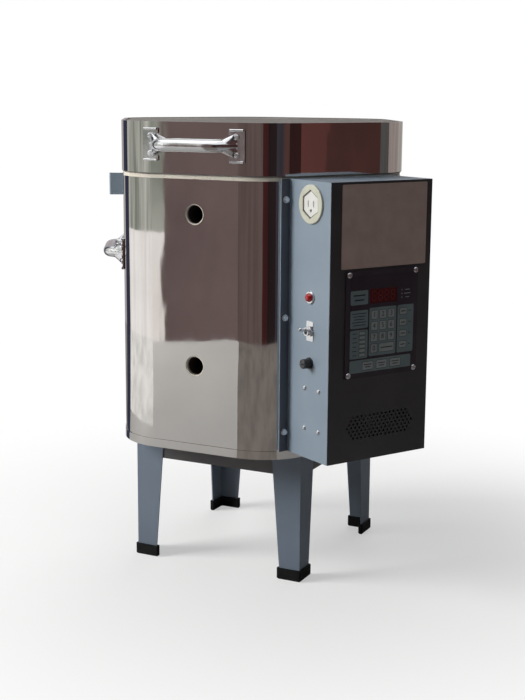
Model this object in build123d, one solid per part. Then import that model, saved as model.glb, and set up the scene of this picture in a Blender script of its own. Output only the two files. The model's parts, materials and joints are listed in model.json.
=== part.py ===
from build123d import *
import os
from math import cos, pi, radians, sin, tan

# Electric kiln: a six-sided top-loading firebrick kiln on a legged stand, with a control box on one facet.
# Millimetres, +Z up. The front facet, with the peepholes and the lid handle, faces -Y.
# Angles round the body are measured from -Y towards +X, so the facets lie at 0, 60, 120 and so on.

# Body
sides = 6
body_half_flats = 216.0
corner_radius = 90.0
sheet = 0.8
jacket_gap = 0.2
brick_thickness = 63.5
course_height = 114.3
courses = 3
brick_joint = 0.4
slab_thickness = 76.2
brick_proud = 5.5
pan_wall = 12.0

# Lid
lid_thickness = 76.2
lid_gap = 0.5
lid_overhang = 1.6
lid_band_lift = 1.5
lid_rim_lip = 6.0

# Stand
stand_height = 208.0
stand_half_width = 146.0
rail_height = 40.0
rail_ledge = 24.0
stand_sheet = 2.0
leg_flange_top = 50.0
leg_flange_bottom = 34.0
foot_height = 18.0
foot_wall = 3.0
foot_sole = 4.0
foot_fit = 0.1
foot_corner = 2.9
foot_chamfer = 2.0

# Peepholes
peephole_bore = 28.0
peephole_jacket_bore = 31.0
peephole_angle = 0.0

# Heating elements
coil_diameter = 9.0
groove_height = 13.0
groove_depth = 13.0
coil_corner_radius = 16.0
tail_diameter = 4.0
tail_stand_out = 24.0
tail_start_u = -16.0
tail_end_u = 62.0
tail_inset = 4.0
ramp_foot_u = 50.0
ramp_head_u = 6.0
bushing_diameter = 12.0
bushing_bore = 6.0
bushing_inside = 25.0
bushing_outside = 12.0
loose_fit = 0.3

# Thermocouple
probe_diameter = 8.0
probe_reach = 25.0
probe_u = -40.0
probe_block = (34.0, 20.0, 15.0)
probe_block_corner = 3.0
stud = (6.0, 4.0)

# Pull handles
handle_span = 144.0
pad_width = 26.0
pad_waist = 16.0
pad_end = 9.0
pad_height = 49.0
pad_thickness = 2.2
pad_corner = 2.0
pad_lip = 1.8
grip_diameter = 18.0
grip_rise = 25.0
grip_lean = 21.0
grip_bend = 24.0
grip_foot_inset = 8.0
funnel_half_width = 19.0
funnel_half_height = 3.0
funnel_reach = 0.55
funnel_step = 0.6
pad_screw_spacing = 26.0
screw_head_well = 9.4
side_handle_drop = 128.0
lid_handle_rise = 5.5
side_handle_angles = (-60.0, 120.0)

# Screws
screw_diameter = 4.0
screw_hole = 4.2
pan_head_diameter = 8.4
pan_head_height = 2.6
pan_head_crown = 1.56
pan_head_slot = (1.0, 1.0)
screw_length = 14.0
hex_across_flats = 7.0
hex_height = 4.2
hex_washer_diameter = 9.8
hex_washer_height = 0.9

# Lid hinge
hinge_angle = 180.0
hinge_width = 116.0
hinge_leaf = 2.0
hinge_leaf_height = 56.0
pin_stand_off = 9.0
pin_diameter = 6.0
pin_fit = 0.05
knuckle_diameter = 12.0
knuckle_centre_width = 40.0
knuckle_side_width = 18.0
knuckle_end_gap = 0.4
pin_head_diameter = 10.0
pin_head_height = 2.0
lid_open_degrees = 98.0
stop_reach = 46.0
stop_gap = 0.6
stop_sheet = 3.0
hinge_screw_inset = 18.0
knuckle_clearance = 2.0
pin_end = 0.5
pin_head_gap = 0.3
gusset_tip = 8.0

# Side bracket
bracket_angle = -60.0
bracket_u = 34.0
bracket_base = 40.0
bracket_height = 34.0
bracket_reach = 23.0
bracket_sheet = 2.0
bracket_hem = 5.5

# Control box
box_angle = 60.0
box_width = 184.0
box_depth = 102.0
box_top_drop = 1.0
box_bottom_rise = 14.0
box_sheet = 1.2
cover_bend = 2.0
box_flange = 15.0
back_plate_gap = 0.3
cover_gap = 0.1
cover_screw_inset = 30.0
vent_slot_count = 19
vent_slot_pitch = 8.8
vent_slot_width = 3.4
vent_slot_length = 66.0
vent_columns = 17
vent_rows = 7
vent_pitch_u = 7.5
vent_pitch_z = 5.3
vent_hole = 3.9
vent_share = 0.8768
vent_u = 3.0

# Front panel items, their tops measured down from the top of the box
label_size = (154.0, 119.0, 0.6)
label_u = 4.0
label_drop = 3.5
controller_size = (132.0, 156.0, 2.0)
controller_u = 1.0
controller_drop = 125.5
controller_cutout_inset = 11.0
controller_screw_inset = 5.5
controller_screw_length = 12.0
overlay_inset = (10.0, 8.0)
overlay_sheet = 0.5
display_size = (50.0, 21.0)
display_from_left = 43.0
display_from_top = 28.0
board_size = (106.0, 128.0, 1.6)
board_depth = 14.0
plate_corner = 2.0
film_corner = 3.0
window_gap = 0.2
figure_block_height = 9.0
figure_block_inset = (2.0, 1.0)
chip = (40.0, 25.0, 12.0)
chip_spot = (10.0, -20.0)
converter = (24.0, 60.0, 16.0)
converter_spot = (18.0, 10.0)
capacitor_diameter = 10.0
capacitor_height = 14.0
capacitor_spots = (-35.0, -20.0)
capacitor_rise = 40.0

# Side panel items, placed by their distance out from the body and down from the top of the box
side_item_out = 56.0
outlet_drop = 33.0
outlet_flange_diameter = 56.0
outlet_flange_height = 3.0
outlet_body_diameter = 46.0
outlet_body_depth = 26.0
outlet_hex = 36.0
outlet_floor = 4.0
outlet_hex_gap = 2.0
outlet_insert_proud = 1.5
blade_half_spacing = 6.4
blade_slot = (2.2, 9.0)
earth_hole = 5.0
blade_rise = 0.5
earth_drop = 9.0
pilot_share = 0.41
pilot_diameter = 14.6
pilot_bezel_diameter = 19.0
pilot_bezel_height = 2.5
pilot_bezel_bevel = 1.0
pilot_depth = 22.0
lens_diameter = 13.0
lens_crown = 5.85
lens_seat = 3.0
lens_dome = 8.0
lens_fit = 0.1
toggle_share = 0.531
toggle_bushing_diameter = 12.0
toggle_bushing_height = 8.0
toggle_plate_size = (16.0, 29.0, 0.8)
toggle_nut_flats = 14.0
toggle_nut_height = 2.4
toggle_thread_fit = 0.1
toggle_tilt = 12.0
toggle_lever_length = 19.0
toggle_pivot_depth = 1.0
toggle_body = (18.0, 30.0, 28.0)
toggle_ball = 6.0
toggle_neck = 3.0
toggle_socket = 8.4
toggle_mouth = 9.2
trunnion_diameter = 2.4
trunnion_hole = 2.6
trunnion_length = 11.0
fuse_share = 0.6471
fuse_flange_diameter = 17.0
fuse_cap_diameter = 14.0
fuse_cap_crown = 1.2
fuse_barrel_diameter = 13.0
fuse_cap_height = 11.0
fuse_diameter = 6.3
fuse_length = 31.5
fuse_flange_height = 2.2
fuse_holder_depth = 42.0
fuse_holder_bore = 9.0
fuse_holder_floor = 3.0
fuse_cap_seat = 2.5
fuse_cap_neck = 8.4
fuse_cap_neck_depth = 5.0
fuse_cap_slot = (1.6, 2.0)
fuse_top = 1.4
fuse_fit = 0.1
flutes = 16
flute_diameter = 1.6
flute_ends = (1.5, 2.5)
rivet_outs = (45.0, 79.0)
rivet_shares = (0.7409, 0.8891)
rivet_hole = 3.2
rivet_shank = 3.0
rivet_head = (7.0, 2.2)
rivet_crown = 1.98
rivet_grip = 2.2
gland_out = 56.0
gland_share = 0.9583
gland_diameter = 22.0
gland_bore = 11.0
gland_flange = 5.0
gland_height = 16.0
gland_inside = 12.0
gland_thread = 15.4
gland_nose = 17.6
gland_crown = 3.0
transformer_rise = 40.0
transformer_core = (48.0, 48.0, 40.0)
transformer_winding = (32.0, 60.0, 38.0)
transformer_u = -2.0
winding_lift = 8.0
winding_corner = 6.0
terminal_strip = (90.0, 24.0, 10.0)
terminal_pitch = 22.0
terminal_fin = 2.0
relay_width = 32.0
relay_wall_gap = 1.2
relay_edge = 4.0
relay_corner = 1.5
relay_tab = (1.5, 6.0)
relay_blade = (6.0, 6.0, 1.0)
relay_blade_inset = (16.0, 9.0)

# Allowances for shaping: how far a drill and a cutter run past a face, and how deep joined shapes meet
drill_reach = 10.0
over = 1.0
weld = 0.5

# Heights of the main joints
body_bottom = stand_height
slab_bottom = body_bottom + sheet
hearth = slab_bottom + slab_thickness
body_top = hearth + courses * course_height
lid_bottom = body_top + lid_gap
lid_top = lid_bottom + lid_thickness
jacket_top = body_top - brick_proud
brick_half_flats = body_half_flats - sheet - jacket_gap
brick_radius = corner_radius - sheet - jacket_gap
chamber_half_flats = brick_half_flats - brick_thickness
lid_half_flats = body_half_flats + lid_overhang
facet_step = 360.0 / sides
half_step = radians(facet_step / 2)
box_bottom = body_bottom + box_bottom_rise
box_top = body_top - box_top_drop
box_mid = (box_top + box_bottom) / 2
box_height = box_top - box_bottom
terminal_z = body_top - course_height / 2
side_handle_z = body_top - side_handle_drop
lid_handle_z = lid_bottom + lid_thickness / 2 + lid_handle_rise
pin_z = lid_bottom
pin_out = lid_overhang + pin_stand_off
top_peephole_z = body_top - course_height / 2
low_peephole_z = hearth + course_height / 2
probe_z = hearth + 1.5 * course_height


def facet(angle, out=0.0):
    """Plane on a facet: x to the right seen from outside, y up from the floor, z outward."""
    turn = radians(angle)
    normal = Vector(sin(turn), -cos(turn), 0)
    return Plane(
        origin=normal * (body_half_flats + out),
        x_dir=Vector(cos(turn), sin(turn), 0),
        z_dir=normal,
    )


def on_facet(angle, shape):
    return facet(angle).location * shape


def block(x0, x1, y0, y1, z0, z1):
    """Box between two corners, in whichever frame it is used."""
    return Pos((x0 + x1) / 2, (y0 + y1) / 2, (z0 + z1) / 2) * Box(x1 - x0, y1 - y0, z1 - z0)


def rod(x, y, z0, z1, diameter):
    """Cylinder along the local z, from z0 to z1."""
    return Pos(x, y, (z0 + z1) / 2) * Cylinder(diameter / 2, z1 - z0)


def hexagon(half_flats, radius=0.0):
    face = RegularPolygon(half_flats, sides, major_radius=False, rotation=facet_step / 2 - 90)
    if radius > 0:
        face = fillet(face.vertices(), radius)
    return face


def prism(half_flats, radius, z0, z1):
    return Pos(0, 0, z0) * extrude(hexagon(half_flats, radius), z1 - z0)


def ring(half_flats, radius, wall, z0, z1):
    inner_radius = max(radius - wall, 0.0)
    inside = prism(half_flats - wall, inner_radius, z0 - 1, z1 + 1)
    return prism(half_flats, radius, z0, z1) - inside


def group(shapes):
    """Separate solids kept together under one name."""
    return Compound([s for shape in shapes for s in shape.solids()])


def hole(x, y, diameter, level=0.0):
    """Drill along the local z, through whatever sheet lies at the given height."""
    return rod(x, y, level - drill_reach, level + drill_reach, diameter)


def pan_screw(x, y, seat, length=screw_length):
    """Pan-head screw along the local z, its head seated at the given height."""
    head = rod(x, y, seat, seat + pan_head_height, pan_head_diameter)
    head = fillet(head.faces().sort_by(Axis.Z)[-1].edges(), pan_head_crown)
    width, depth = pan_head_slot
    top = seat + pan_head_height
    half = pan_head_diameter / 2 + over
    slot = block(x - half, x + half, y - width / 2, y + width / 2, top - depth, top + over)
    return head - slot + rod(x, y, seat - length, seat + weld, screw_diameter)


def hex_screw(x, y, seat):
    """Hex-washer screw along the local z, its washer seated at the given height."""
    washer = rod(x, y, seat, seat + hex_washer_height, hex_washer_diameter)
    head_face = RegularPolygon(hex_across_flats / 2, 6, major_radius=False)
    head = Pos(x, y, seat) * extrude(head_face, hex_height)
    return washer + head + rod(x, y, seat - screw_length, seat + weld, screw_diameter)


def row_heights(course):
    """Heights of the two element grooves of a course."""
    low = hearth + course * course_height
    return low + course_height / 4, low + course_height * 3 / 4


def pad_screw_points(handle_z):
    return [
        (side * handle_span / 2, handle_z + up * pad_screw_spacing / 2)
        for side in (-1, 1)
        for up in (-1, 1)
    ]


def hinge_screw_points(z):
    edge = hinge_width / 2 - hinge_screw_inset
    return [(x, z) for x in (-edge, edge)]


def cover_screw_points():
    u = box_width / 2 + box_flange / 2
    heights = (box_bottom + cover_screw_inset, box_mid, box_top - cover_screw_inset)
    return [(side * u, z) for side in (-1, 1) for z in heights]


def tail_points():
    """Where the element tails cross the wall, a little in from the ends of each coil."""
    points = []
    for course in range(courses):
        low, high = row_heights(course)
        points.append((tail_start_u - tail_inset, low))
        points.append((tail_end_u + tail_inset, high))
    return points


def bracket_screw_points():
    z = jacket_top - bracket_height / 2
    u = bracket_u - bracket_base / 2
    return [(u - bracket_base / 4, z), (u + bracket_base / 4, z)]


body_leaf_screws_z = pin_z - hinge_leaf_height + hinge_screw_inset / 2
lid_leaf_screws_z = pin_z + hinge_leaf_height - hinge_screw_inset / 2


def facet_holes():
    """Round holes through the jacket and the bricks behind it: facet angle to (x, height, diameter)."""
    holes = {}
    holes[peephole_angle] = []
    for angle in side_handle_angles:
        holes[angle] = [(x, z, screw_hole) for x, z in pad_screw_points(side_handle_z)]
    holes[bracket_angle] += [(x, z, screw_hole) for x, z in bracket_screw_points()]
    holes[hinge_angle] = [(x, z, screw_hole) for x, z in hinge_screw_points(body_leaf_screws_z)]
    holes[box_angle] = [(x, z, screw_hole) for x, z in cover_screw_points()]
    holes[box_angle] += [(x, z, bushing_diameter + loose_fit) for x, z in tail_points()]
    holes[box_angle] += [(probe_u, probe_z, probe_diameter + loose_fit)]
    return holes


def cutters(angle, holes, z0, z1):
    return [on_facet(angle, rod(x, y, z0, z1, d)) for x, y, d in holes]


def cut(shape, tools):
    return shape - tools if tools else shape


def make_brick_courses():
    """Mitred bricks with element grooves, holed where things pass through the wall."""
    outer = prism(brick_half_flats, brick_radius, 0, course_height)
    inner = prism(chamber_half_flats, 0, -1, course_height + 1)
    reach = 2 * body_half_flats
    spread = reach * tan(half_step)
    wedge_face = Polygon((0, 0), (-spread, -reach), (spread, -reach), align=None)
    wedge = Pos(0, -brick_joint / 2 / sin(half_step), -1) * extrude(wedge_face, course_height + 2)
    brick = (outer - inner) & wedge
    for z in (course_height / 4, course_height * 3 / 4):
        groove = prism(chamber_half_flats + groove_depth, 0, z - groove_height / 2, z + groove_height / 2)
        brick = brick - groove
    holes = facet_holes()
    made = {}
    for course in range(courses):
        base = hearth + course * course_height
        bricks = []
        for k in range(sides):
            angle = k * facet_step
            name_angle = angle if angle <= 180 else angle - 360
            piece = Pos(0, 0, base) * (Rot(0, 0, angle) * brick)
            middle = base + course_height / 2
            wall = [h for h in holes.get(name_angle, []) if abs(h[1] - middle) < course_height / 2 + h[2]]
            deep = [h for h in wall if h[2] > screw_hole]
            shallow = [h for h in wall if h[2] <= screw_hole]
            tools = cutters(angle, deep, -brick_thickness - groove_depth, 1)
            tools += cutters(angle, shallow, -screw_length - 2, 1)
            if name_angle == peephole_angle:
                for z in (top_peephole_z, low_peephole_z):
                    if base < z < base + course_height:
                        tools.append(on_facet(angle, rod(0, z, -brick_thickness - 3, 1, peephole_bore)))
            if name_angle == box_angle:
                low, high = row_heights(course)
                tools.append(on_facet(angle, block(
                    ramp_head_u - groove_height / 2, ramp_foot_u + groove_height / 2,
                    low - groove_height / 2, high + groove_height / 2,
                    chamber_half_flats - body_half_flats - 1,
                    chamber_half_flats - body_half_flats + groove_depth,
                )))
            bricks.append(cut(piece, tools))
        made[f"brick_course_{course + 1}"] = group(bricks)
    return made


def make_body_shell():
    """Bottom pan, floor slab and the jacket with its holes."""
    jacket = ring(body_half_flats, corner_radius, sheet, slab_bottom, jacket_top)
    tools = []
    for angle, holes in facet_holes().items():
        tools += cutters(angle, holes, -10, 5)
    for z in (top_peephole_z, low_peephole_z):
        tools.append(on_facet(peephole_angle, hole(0, z, peephole_jacket_bore)))
    jacket = jacket - tools
    pan_half = body_half_flats + jacket_gap + sheet
    pan_radius = corner_radius + jacket_gap + sheet
    pan = prism(pan_half, pan_radius, body_bottom, body_bottom + sheet + pan_wall)
    pan -= prism(pan_half - sheet, pan_radius - sheet, slab_bottom, slab_bottom + pan_wall + 1)
    slab = prism(brick_half_flats, brick_radius, slab_bottom, hearth)
    slab_tools = []
    for angle, holes in facet_holes().items():
        low = [h for h in holes if h[1] < hearth + h[2]]
        slab_tools += cutters(angle, low, -screw_length - 2, 1)
    slab = cut(slab, slab_tools)
    return {"jacket": jacket, "bottom_pan": pan, "floor_slab": slab}


def make_elements():
    """One coil per course: two turns round the chamber joined by a ramp, with a tail at each end."""
    run = chamber_half_flats + groove_depth / 2
    plane = facet(box_angle, run - body_half_flats)

    def corner(k, z):
        turn = radians(box_angle - facet_step * (k + 0.5))
        reach = run / cos(half_step)
        return Vector(reach * sin(turn), -reach * cos(turn), z)

    made = {}
    for course in range(courses):
        low, high = row_heights(course)
        points = [plane.from_local_coords((tail_start_u, low, 0))]
        points += [corner(k, low) for k in range(sides)]
        points += [plane.from_local_coords((ramp_foot_u, low, 0))]
        points += [plane.from_local_coords((ramp_head_u, high, 0))]
        points += [corner(k, high) for k in range(sides)]
        points += [plane.from_local_coords((tail_end_u, high, 0))]
        path = FilletPolyline(*points, radius=coil_corner_radius)
        start = Plane(origin=path @ 0, z_dir=path % 0)
        coil = sweep(start * Circle(coil_diameter / 2), path=path)
        tails = [
            plane.location * rod(u, z, 0, body_half_flats - run + tail_stand_out, tail_diameter)
            for u, z in tail_points()[2 * course:2 * course + 2]
        ]
        made[f"element_{course + 1}"] = coil + tails
    return made


def make_wall_fittings():
    """Ceramic bushings round the element tails, and the thermocouple with its block."""
    bushings = []
    for u, z in tail_points():
        tube = rod(u, z, -bushing_inside, bushing_outside, bushing_diameter)
        bore = rod(u, z, -bushing_inside - over, bushing_outside + over, bushing_bore)
        bushings.append(on_facet(box_angle, tube - bore))
    block_w, block_h, block_d = probe_block
    seat = back_plate_gap + box_sheet
    probe_tip = -sheet - jacket_gap - brick_thickness - probe_reach
    probe = rod(probe_u, probe_z, probe_tip, seat + weld, probe_diameter)
    head = block(probe_u - block_w / 2, probe_u + block_w / 2, probe_z - block_h / 2,
                 probe_z + block_h / 2, seat, seat + block_d)
    head = fillet(head.edges().filter_by(Axis.Z), probe_block_corner)
    top = seat + block_d
    stud_d, stud_h = stud
    terminals = [rod(probe_u + s * block_w / 4, probe_z, top - over, top + stud_h, stud_d) for s in (-1, 1)]
    return {
        "element_bushings": group(bushings),
        "thermocouple": on_facet(box_angle, probe + head + terminals),
    }


def make_stand():
    """Four ledged rails, four tapered angle legs and their rubber feet."""
    made = {}
    half = stand_half_width
    inner = half - stand_sheet
    bottom = body_bottom - rail_height
    for k, name in enumerate(("front", "right", "back", "left")):
        reach = inner if k % 2 == 0 else inner - rail_ledge
        wall = block(-reach, reach, -inner, -inner + stand_sheet, bottom, body_bottom)
        ledge = block(-reach, reach, -inner, -inner + rail_ledge, body_bottom - stand_sheet, body_bottom)
        made[f"stand_rail_{name}"] = Rot(0, 0, 90 * k) * (wall + ledge)
    top_w, low_w = leg_flange_top, leg_flange_bottom
    height = body_bottom - foot_sole
    flange = Plane.XZ * Polygon(
        (0, 0), (low_w, 0), (top_w, height), (0, height), align=None
    )
    flange = extrude(flange, stand_sheet, dir=(0, 1, 0))
    other = Plane.YZ * Polygon((0, 0), (low_w, 0), (top_w, height), (0, height), align=None)
    other = extrude(other, stand_sheet, dir=(1, 0, 0))
    leg = flange + other
    foot_out = foot_wall + foot_fit
    boot_w = low_w + (top_w - low_w) * foot_height / height + foot_out
    boot = Polygon(
        (-foot_out, -foot_out), (boot_w, -foot_out), (boot_w, stand_sheet + foot_out),
        (stand_sheet + foot_out, stand_sheet + foot_out), (stand_sheet + foot_out, boot_w),
        (-foot_out, boot_w), align=None,
    )
    boot = extrude(fillet(boot.vertices(), foot_corner), foot_height)
    boot = chamfer(boot.faces().sort_by(Axis.Z)[0].edges(), foot_chamfer)
    fit = foot_fit
    pocket_w = boot_w - foot_wall
    pocket = block(-fit, pocket_w, -fit, stand_sheet + fit, foot_sole, foot_height + over)
    pocket += block(-fit, stand_sheet + fit, -fit, pocket_w, foot_sole, foot_height + over)
    foot = boot - pocket
    for k, name in enumerate(("front_left", "front_right", "back_right", "back_left")):
        turn = Rot(0, 0, 90 * k)
        made[f"leg_{name}"] = turn * (Pos(-half, -half, foot_sole) * leg)
        made[f"foot_{name}"] = turn * (Pos(-half, -half, 0) * foot)
    return made


def make_handle():
    """Utility pull lying along the local x, its pads on z = 0 and its grip standing off."""
    foot = handle_span / 2 - grip_foot_inset
    root = foot + grip_lean / 2
    path = FilletPolyline(
        (-root, 0, -grip_rise / 2),
        (grip_lean - foot, 0, grip_rise),
        (foot - grip_lean, 0, grip_rise),
        (root, 0, -grip_rise / 2),
        radius=grip_bend,
    )
    section = Circle(grip_diameter / 2)
    body = sweep(Plane(origin=path @ 0, z_dir=path % 0) * section, path=path)
    for side in (-1, 1):
        flat = Plane(origin=(side * handle_span / 2, 0, pad_thickness / 2), x_dir=(0, 1, 0), z_dir=(-side, 0, 0))
        neck = (side * (foot - funnel_reach * grip_lean), 0, funnel_reach * grip_rise)
        round_end = Plane(origin=neck, x_dir=(0, 1, 0), z_dir=(-side * grip_lean, 0, grip_rise))
        mouth = Circle(grip_diameter / 2 - funnel_step)
        body += loft([flat * Ellipse(funnel_half_width, funnel_half_height), round_end * mouth])
    body = body - block(-handle_span, handle_span, -pad_height, pad_height, -2 * grip_rise, 0)
    pads = []
    for side in (-1, 1):
        centre = side * handle_span / 2
        x0, x1 = centre - pad_width / 2, centre + pad_width / 2
        outer, inner, top = centre + side * pad_width / 2, centre - side * pad_waist / 2, pad_height / 2
        pad = block(min(outer, inner), max(outer, inner), -top, top, 0, pad_thickness)
        pad += block(x0, x1, top - pad_end, top, 0, pad_thickness)
        pad += block(x0, x1, -top, pad_end - top, 0, pad_thickness)
        pad = fillet(pad.edges().filter_by(Axis.Z), pad_corner)
        for end in (-1, 1):
            lip = Rot(0, 90, 0) * Cylinder(pad_lip, pad_width - 2 * pad_corner)
            pad += Pos(centre, end * (pad_height / 2 - pad_lip), pad_thickness) * lip
        pads.append(pad)
    for pad in pads:
        body = body + pad
    for side in (-1, 1):
        for up in (-1, 1):
            x, y = side * handle_span / 2, up * pad_screw_spacing / 2
            body -= hole(x, y, screw_hole)
            body -= rod(x, y, pad_thickness, drill_reach, screw_head_well)
    return body


def make_handles(handle):
    """The two body pulls, the lid pull, and the screws of each body."""
    seat = pad_thickness
    left, right = side_handle_angles
    made = {
        "left_handle": on_facet(left, Pos(0, side_handle_z, 0) * handle),
        "right_handle": on_facet(right, Pos(0, side_handle_z, 0) * handle),
        "lid_handle": facet(peephole_angle, lid_overhang).location * (Pos(0, lid_handle_z, 0) * handle),
    }
    screws = [
        on_facet(angle, pan_screw(x, z, seat))
        for angle in side_handle_angles
        for x, z in pad_screw_points(side_handle_z)
    ]
    screws += [on_facet(bracket_angle, pan_screw(x, z, bracket_sheet)) for x, z in bracket_screw_points()]
    leaf_points = hinge_screw_points(body_leaf_screws_z)
    screws += [on_facet(hinge_angle, pan_screw(x, z, hinge_leaf)) for x, z in leaf_points]
    made["body_screws"] = group(screws)
    lid_plane = facet(peephole_angle, lid_overhang).location
    lid_screws = [lid_plane * pan_screw(x, z, seat) for x, z in pad_screw_points(lid_handle_z)]
    leaf_seat = lid_overhang + hinge_leaf
    leaf_points = hinge_screw_points(lid_leaf_screws_z)
    lid_screws += [on_facet(hinge_angle, pan_screw(x, z, leaf_seat)) for x, z in leaf_points]
    made["lid_screws"] = group(lid_screws)
    return made


def make_lid():
    """Lid slab in a sheet band with a rolled top edge."""
    slab = prism(lid_half_flats - sheet - jacket_gap, corner_radius + lid_overhang - sheet - jacket_gap,
                 lid_bottom, lid_top)
    band_low = lid_bottom + lid_band_lift
    radius = corner_radius + lid_overhang
    band = ring(lid_half_flats, radius, sheet, band_low, lid_top + sheet + jacket_gap)
    lip = ring(lid_half_flats, radius, lid_rim_lip, lid_top + jacket_gap, lid_top + jacket_gap + sheet)
    band = band + lip
    lid_holes = {
        peephole_angle: [(x, z, screw_hole) for x, z in pad_screw_points(lid_handle_z)],
        hinge_angle: [(x, z, screw_hole) for x, z in hinge_screw_points(lid_leaf_screws_z)],
    }
    tools = []
    for angle, holes in lid_holes.items():
        tools += cutters(angle, holes, -screw_length - 2, 5)
    return {"lid_slab": slab - tools, "lid_band": band - tools}


def make_hinge():
    """Two leaves and a headed pin on the rear facet; the body leaf carries the lid's stop gussets."""
    knuckle_r = knuckle_diameter / 2
    centre_half = knuckle_centre_width / 2
    side_start = centre_half + knuckle_end_gap
    side_end = side_start + knuckle_side_width
    bore = pin_diameter + 2 * pin_fit
    leaf_edge = knuckle_r + knuckle_clearance

    def barrel(x0, x1, diameter):
        return Pos((x0 + x1) / 2, pin_z, pin_out) * (Rot(0, 90, 0) * Cylinder(diameter / 2, x1 - x0))

    half = hinge_width / 2
    leaf_low = pin_z - hinge_leaf_height
    body_leaf = block(-half, half, leaf_low, pin_z - leaf_edge, 0, hinge_leaf)
    slope = tan(radians(lid_open_degrees - 90))
    open_face = (pin_stand_off - hinge_leaf) / cos(radians(lid_open_degrees - 90)) - stop_gap
    for s in (-1, 1):
        x0, x1 = sorted((s * side_start, s * side_end))
        web = block(x0, x1, pin_z - knuckle_diameter - knuckle_clearance, pin_z, 0, pin_out)
        body_leaf += web - block(x0 - 1, x1 + 1, pin_z - knuckle_r, pin_z + 1, -1, lid_overhang + 1)
        body_leaf += barrel(x0, x1, knuckle_diameter)
        body_leaf -= barrel(x0 - 1, x1 + 1, bore)
        top_near = open_face - knuckle_r * slope
        top_far = open_face - stop_reach * slope
        gusset_face = Polygon(
            (hinge_leaf, leaf_low),
            (hinge_leaf, pin_z - leaf_edge),
            (pin_out + knuckle_r, pin_z + top_near - knuckle_r),
            (pin_out + knuckle_diameter, pin_z + top_near - knuckle_r * slope),
            (pin_out + stop_reach, pin_z + top_far),
            (pin_out + stop_reach, pin_z + top_far - gusset_tip),
            align=None,
        )
        gusset_x = s * (half - stop_sheet) + stop_sheet / 2
        gusset_plane = Plane(origin=(gusset_x, 0, 0), x_dir=(0, 0, 1), z_dir=(-1, 0, 0))
        body_leaf += extrude(gusset_plane * gusset_face, stop_sheet)
    for x, z in hinge_screw_points(body_leaf_screws_z):
        body_leaf -= rod(x, z, -over, hinge_leaf + over, screw_hole)

    lid_face = lid_overhang + hinge_leaf
    lid_leaf = block(-half, half, pin_z + leaf_edge, pin_z + hinge_leaf_height, lid_overhang, lid_face)
    web_top = pin_z + knuckle_diameter + knuckle_clearance
    lid_leaf += block(-centre_half, centre_half, pin_z, web_top, lid_overhang, pin_out)
    lid_leaf += barrel(-centre_half, centre_half, knuckle_diameter)
    lid_leaf -= barrel(-centre_half - 1, centre_half + 1, bore)
    for x, z in hinge_screw_points(lid_leaf_screws_z):
        lid_leaf -= rod(x, z, lid_overhang - over, lid_face + over, screw_hole)

    pin = barrel(-side_end - pin_end, side_end + pin_end, pin_diameter)
    for s in (-1, 1):
        x0, x1 = sorted((s * (side_end + pin_head_gap), s * (side_end + pin_head_gap + pin_head_height)))
        pin += barrel(x0, x1, pin_head_diameter)
    return {
        "hinge_body_leaf": on_facet(hinge_angle, body_leaf),
        "hinge_lid_leaf": on_facet(hinge_angle, lid_leaf),
        "hinge_pin": on_facet(hinge_angle, pin),
    }


def make_side_bracket():
    """Bent sheet angle at the top of the left facet."""
    z0, z1 = jacket_top - bracket_height, jacket_top
    u1 = bracket_u
    base = block(u1 - bracket_base, u1, z0, z1, 0, bracket_sheet)
    radius = bracket_hem / 2
    leaf = block(u1 - bracket_sheet, u1, z0, z1, 0, bracket_reach - radius)
    hem = Rot(90, 0, 0) * Cylinder(radius, bracket_height)
    bracket = base + leaf + Pos(u1 - radius, (z0 + z1) / 2, bracket_reach - radius) * hem
    for x, z in bracket_screw_points():
        bracket -= hole(x, z, screw_hole)
    return {"side_bracket": on_facet(bracket_angle, bracket)}


cover_back = back_plate_gap + box_sheet + cover_gap
side_face = box_width / 2


def side_plane(side):
    """Plane on the left (-1) or right (1) side panel: y up, z out of the panel."""
    base = facet(box_angle)
    normal = base.x_dir * side
    return Plane(origin=base.origin + normal * side_face, x_dir=Vector(0, 0, 1).cross(normal), z_dir=normal)


def side_spot(side, out, drop):
    """Point of the side panel's plane, this far out from the body and this far below the box's top."""
    across = -out if side > 0 else out
    return across, box_top - drop


def on_side(side, shape):
    return side_plane(side).location * shape


def panel_item_spots():
    return {
        "outlet": side_spot(-1, side_item_out, outlet_drop),
        "pilot": side_spot(-1, side_item_out, pilot_share * box_height),
        "toggle": side_spot(-1, side_item_out, toggle_share * box_height),
        "fuse": side_spot(-1, side_item_out, fuse_share * box_height),
    }


def rivet_spots():
    return [side_spot(-1, out, share * box_height) for out in rivet_outs for share in rivet_shares]


def controller_frame():
    """Left, right, bottom and top of the controller plate, on the front panel."""
    w, h, _ = controller_size
    top = box_top - controller_drop
    return controller_u - w / 2, controller_u + w / 2, top - h, top


def controller_screw_points():
    x0, x1, z0, z1 = controller_frame()
    i = controller_screw_inset
    return [(x, z) for x in (x0 + i, x1 - i) for z in (z0 + i, z1 - i)]


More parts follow.
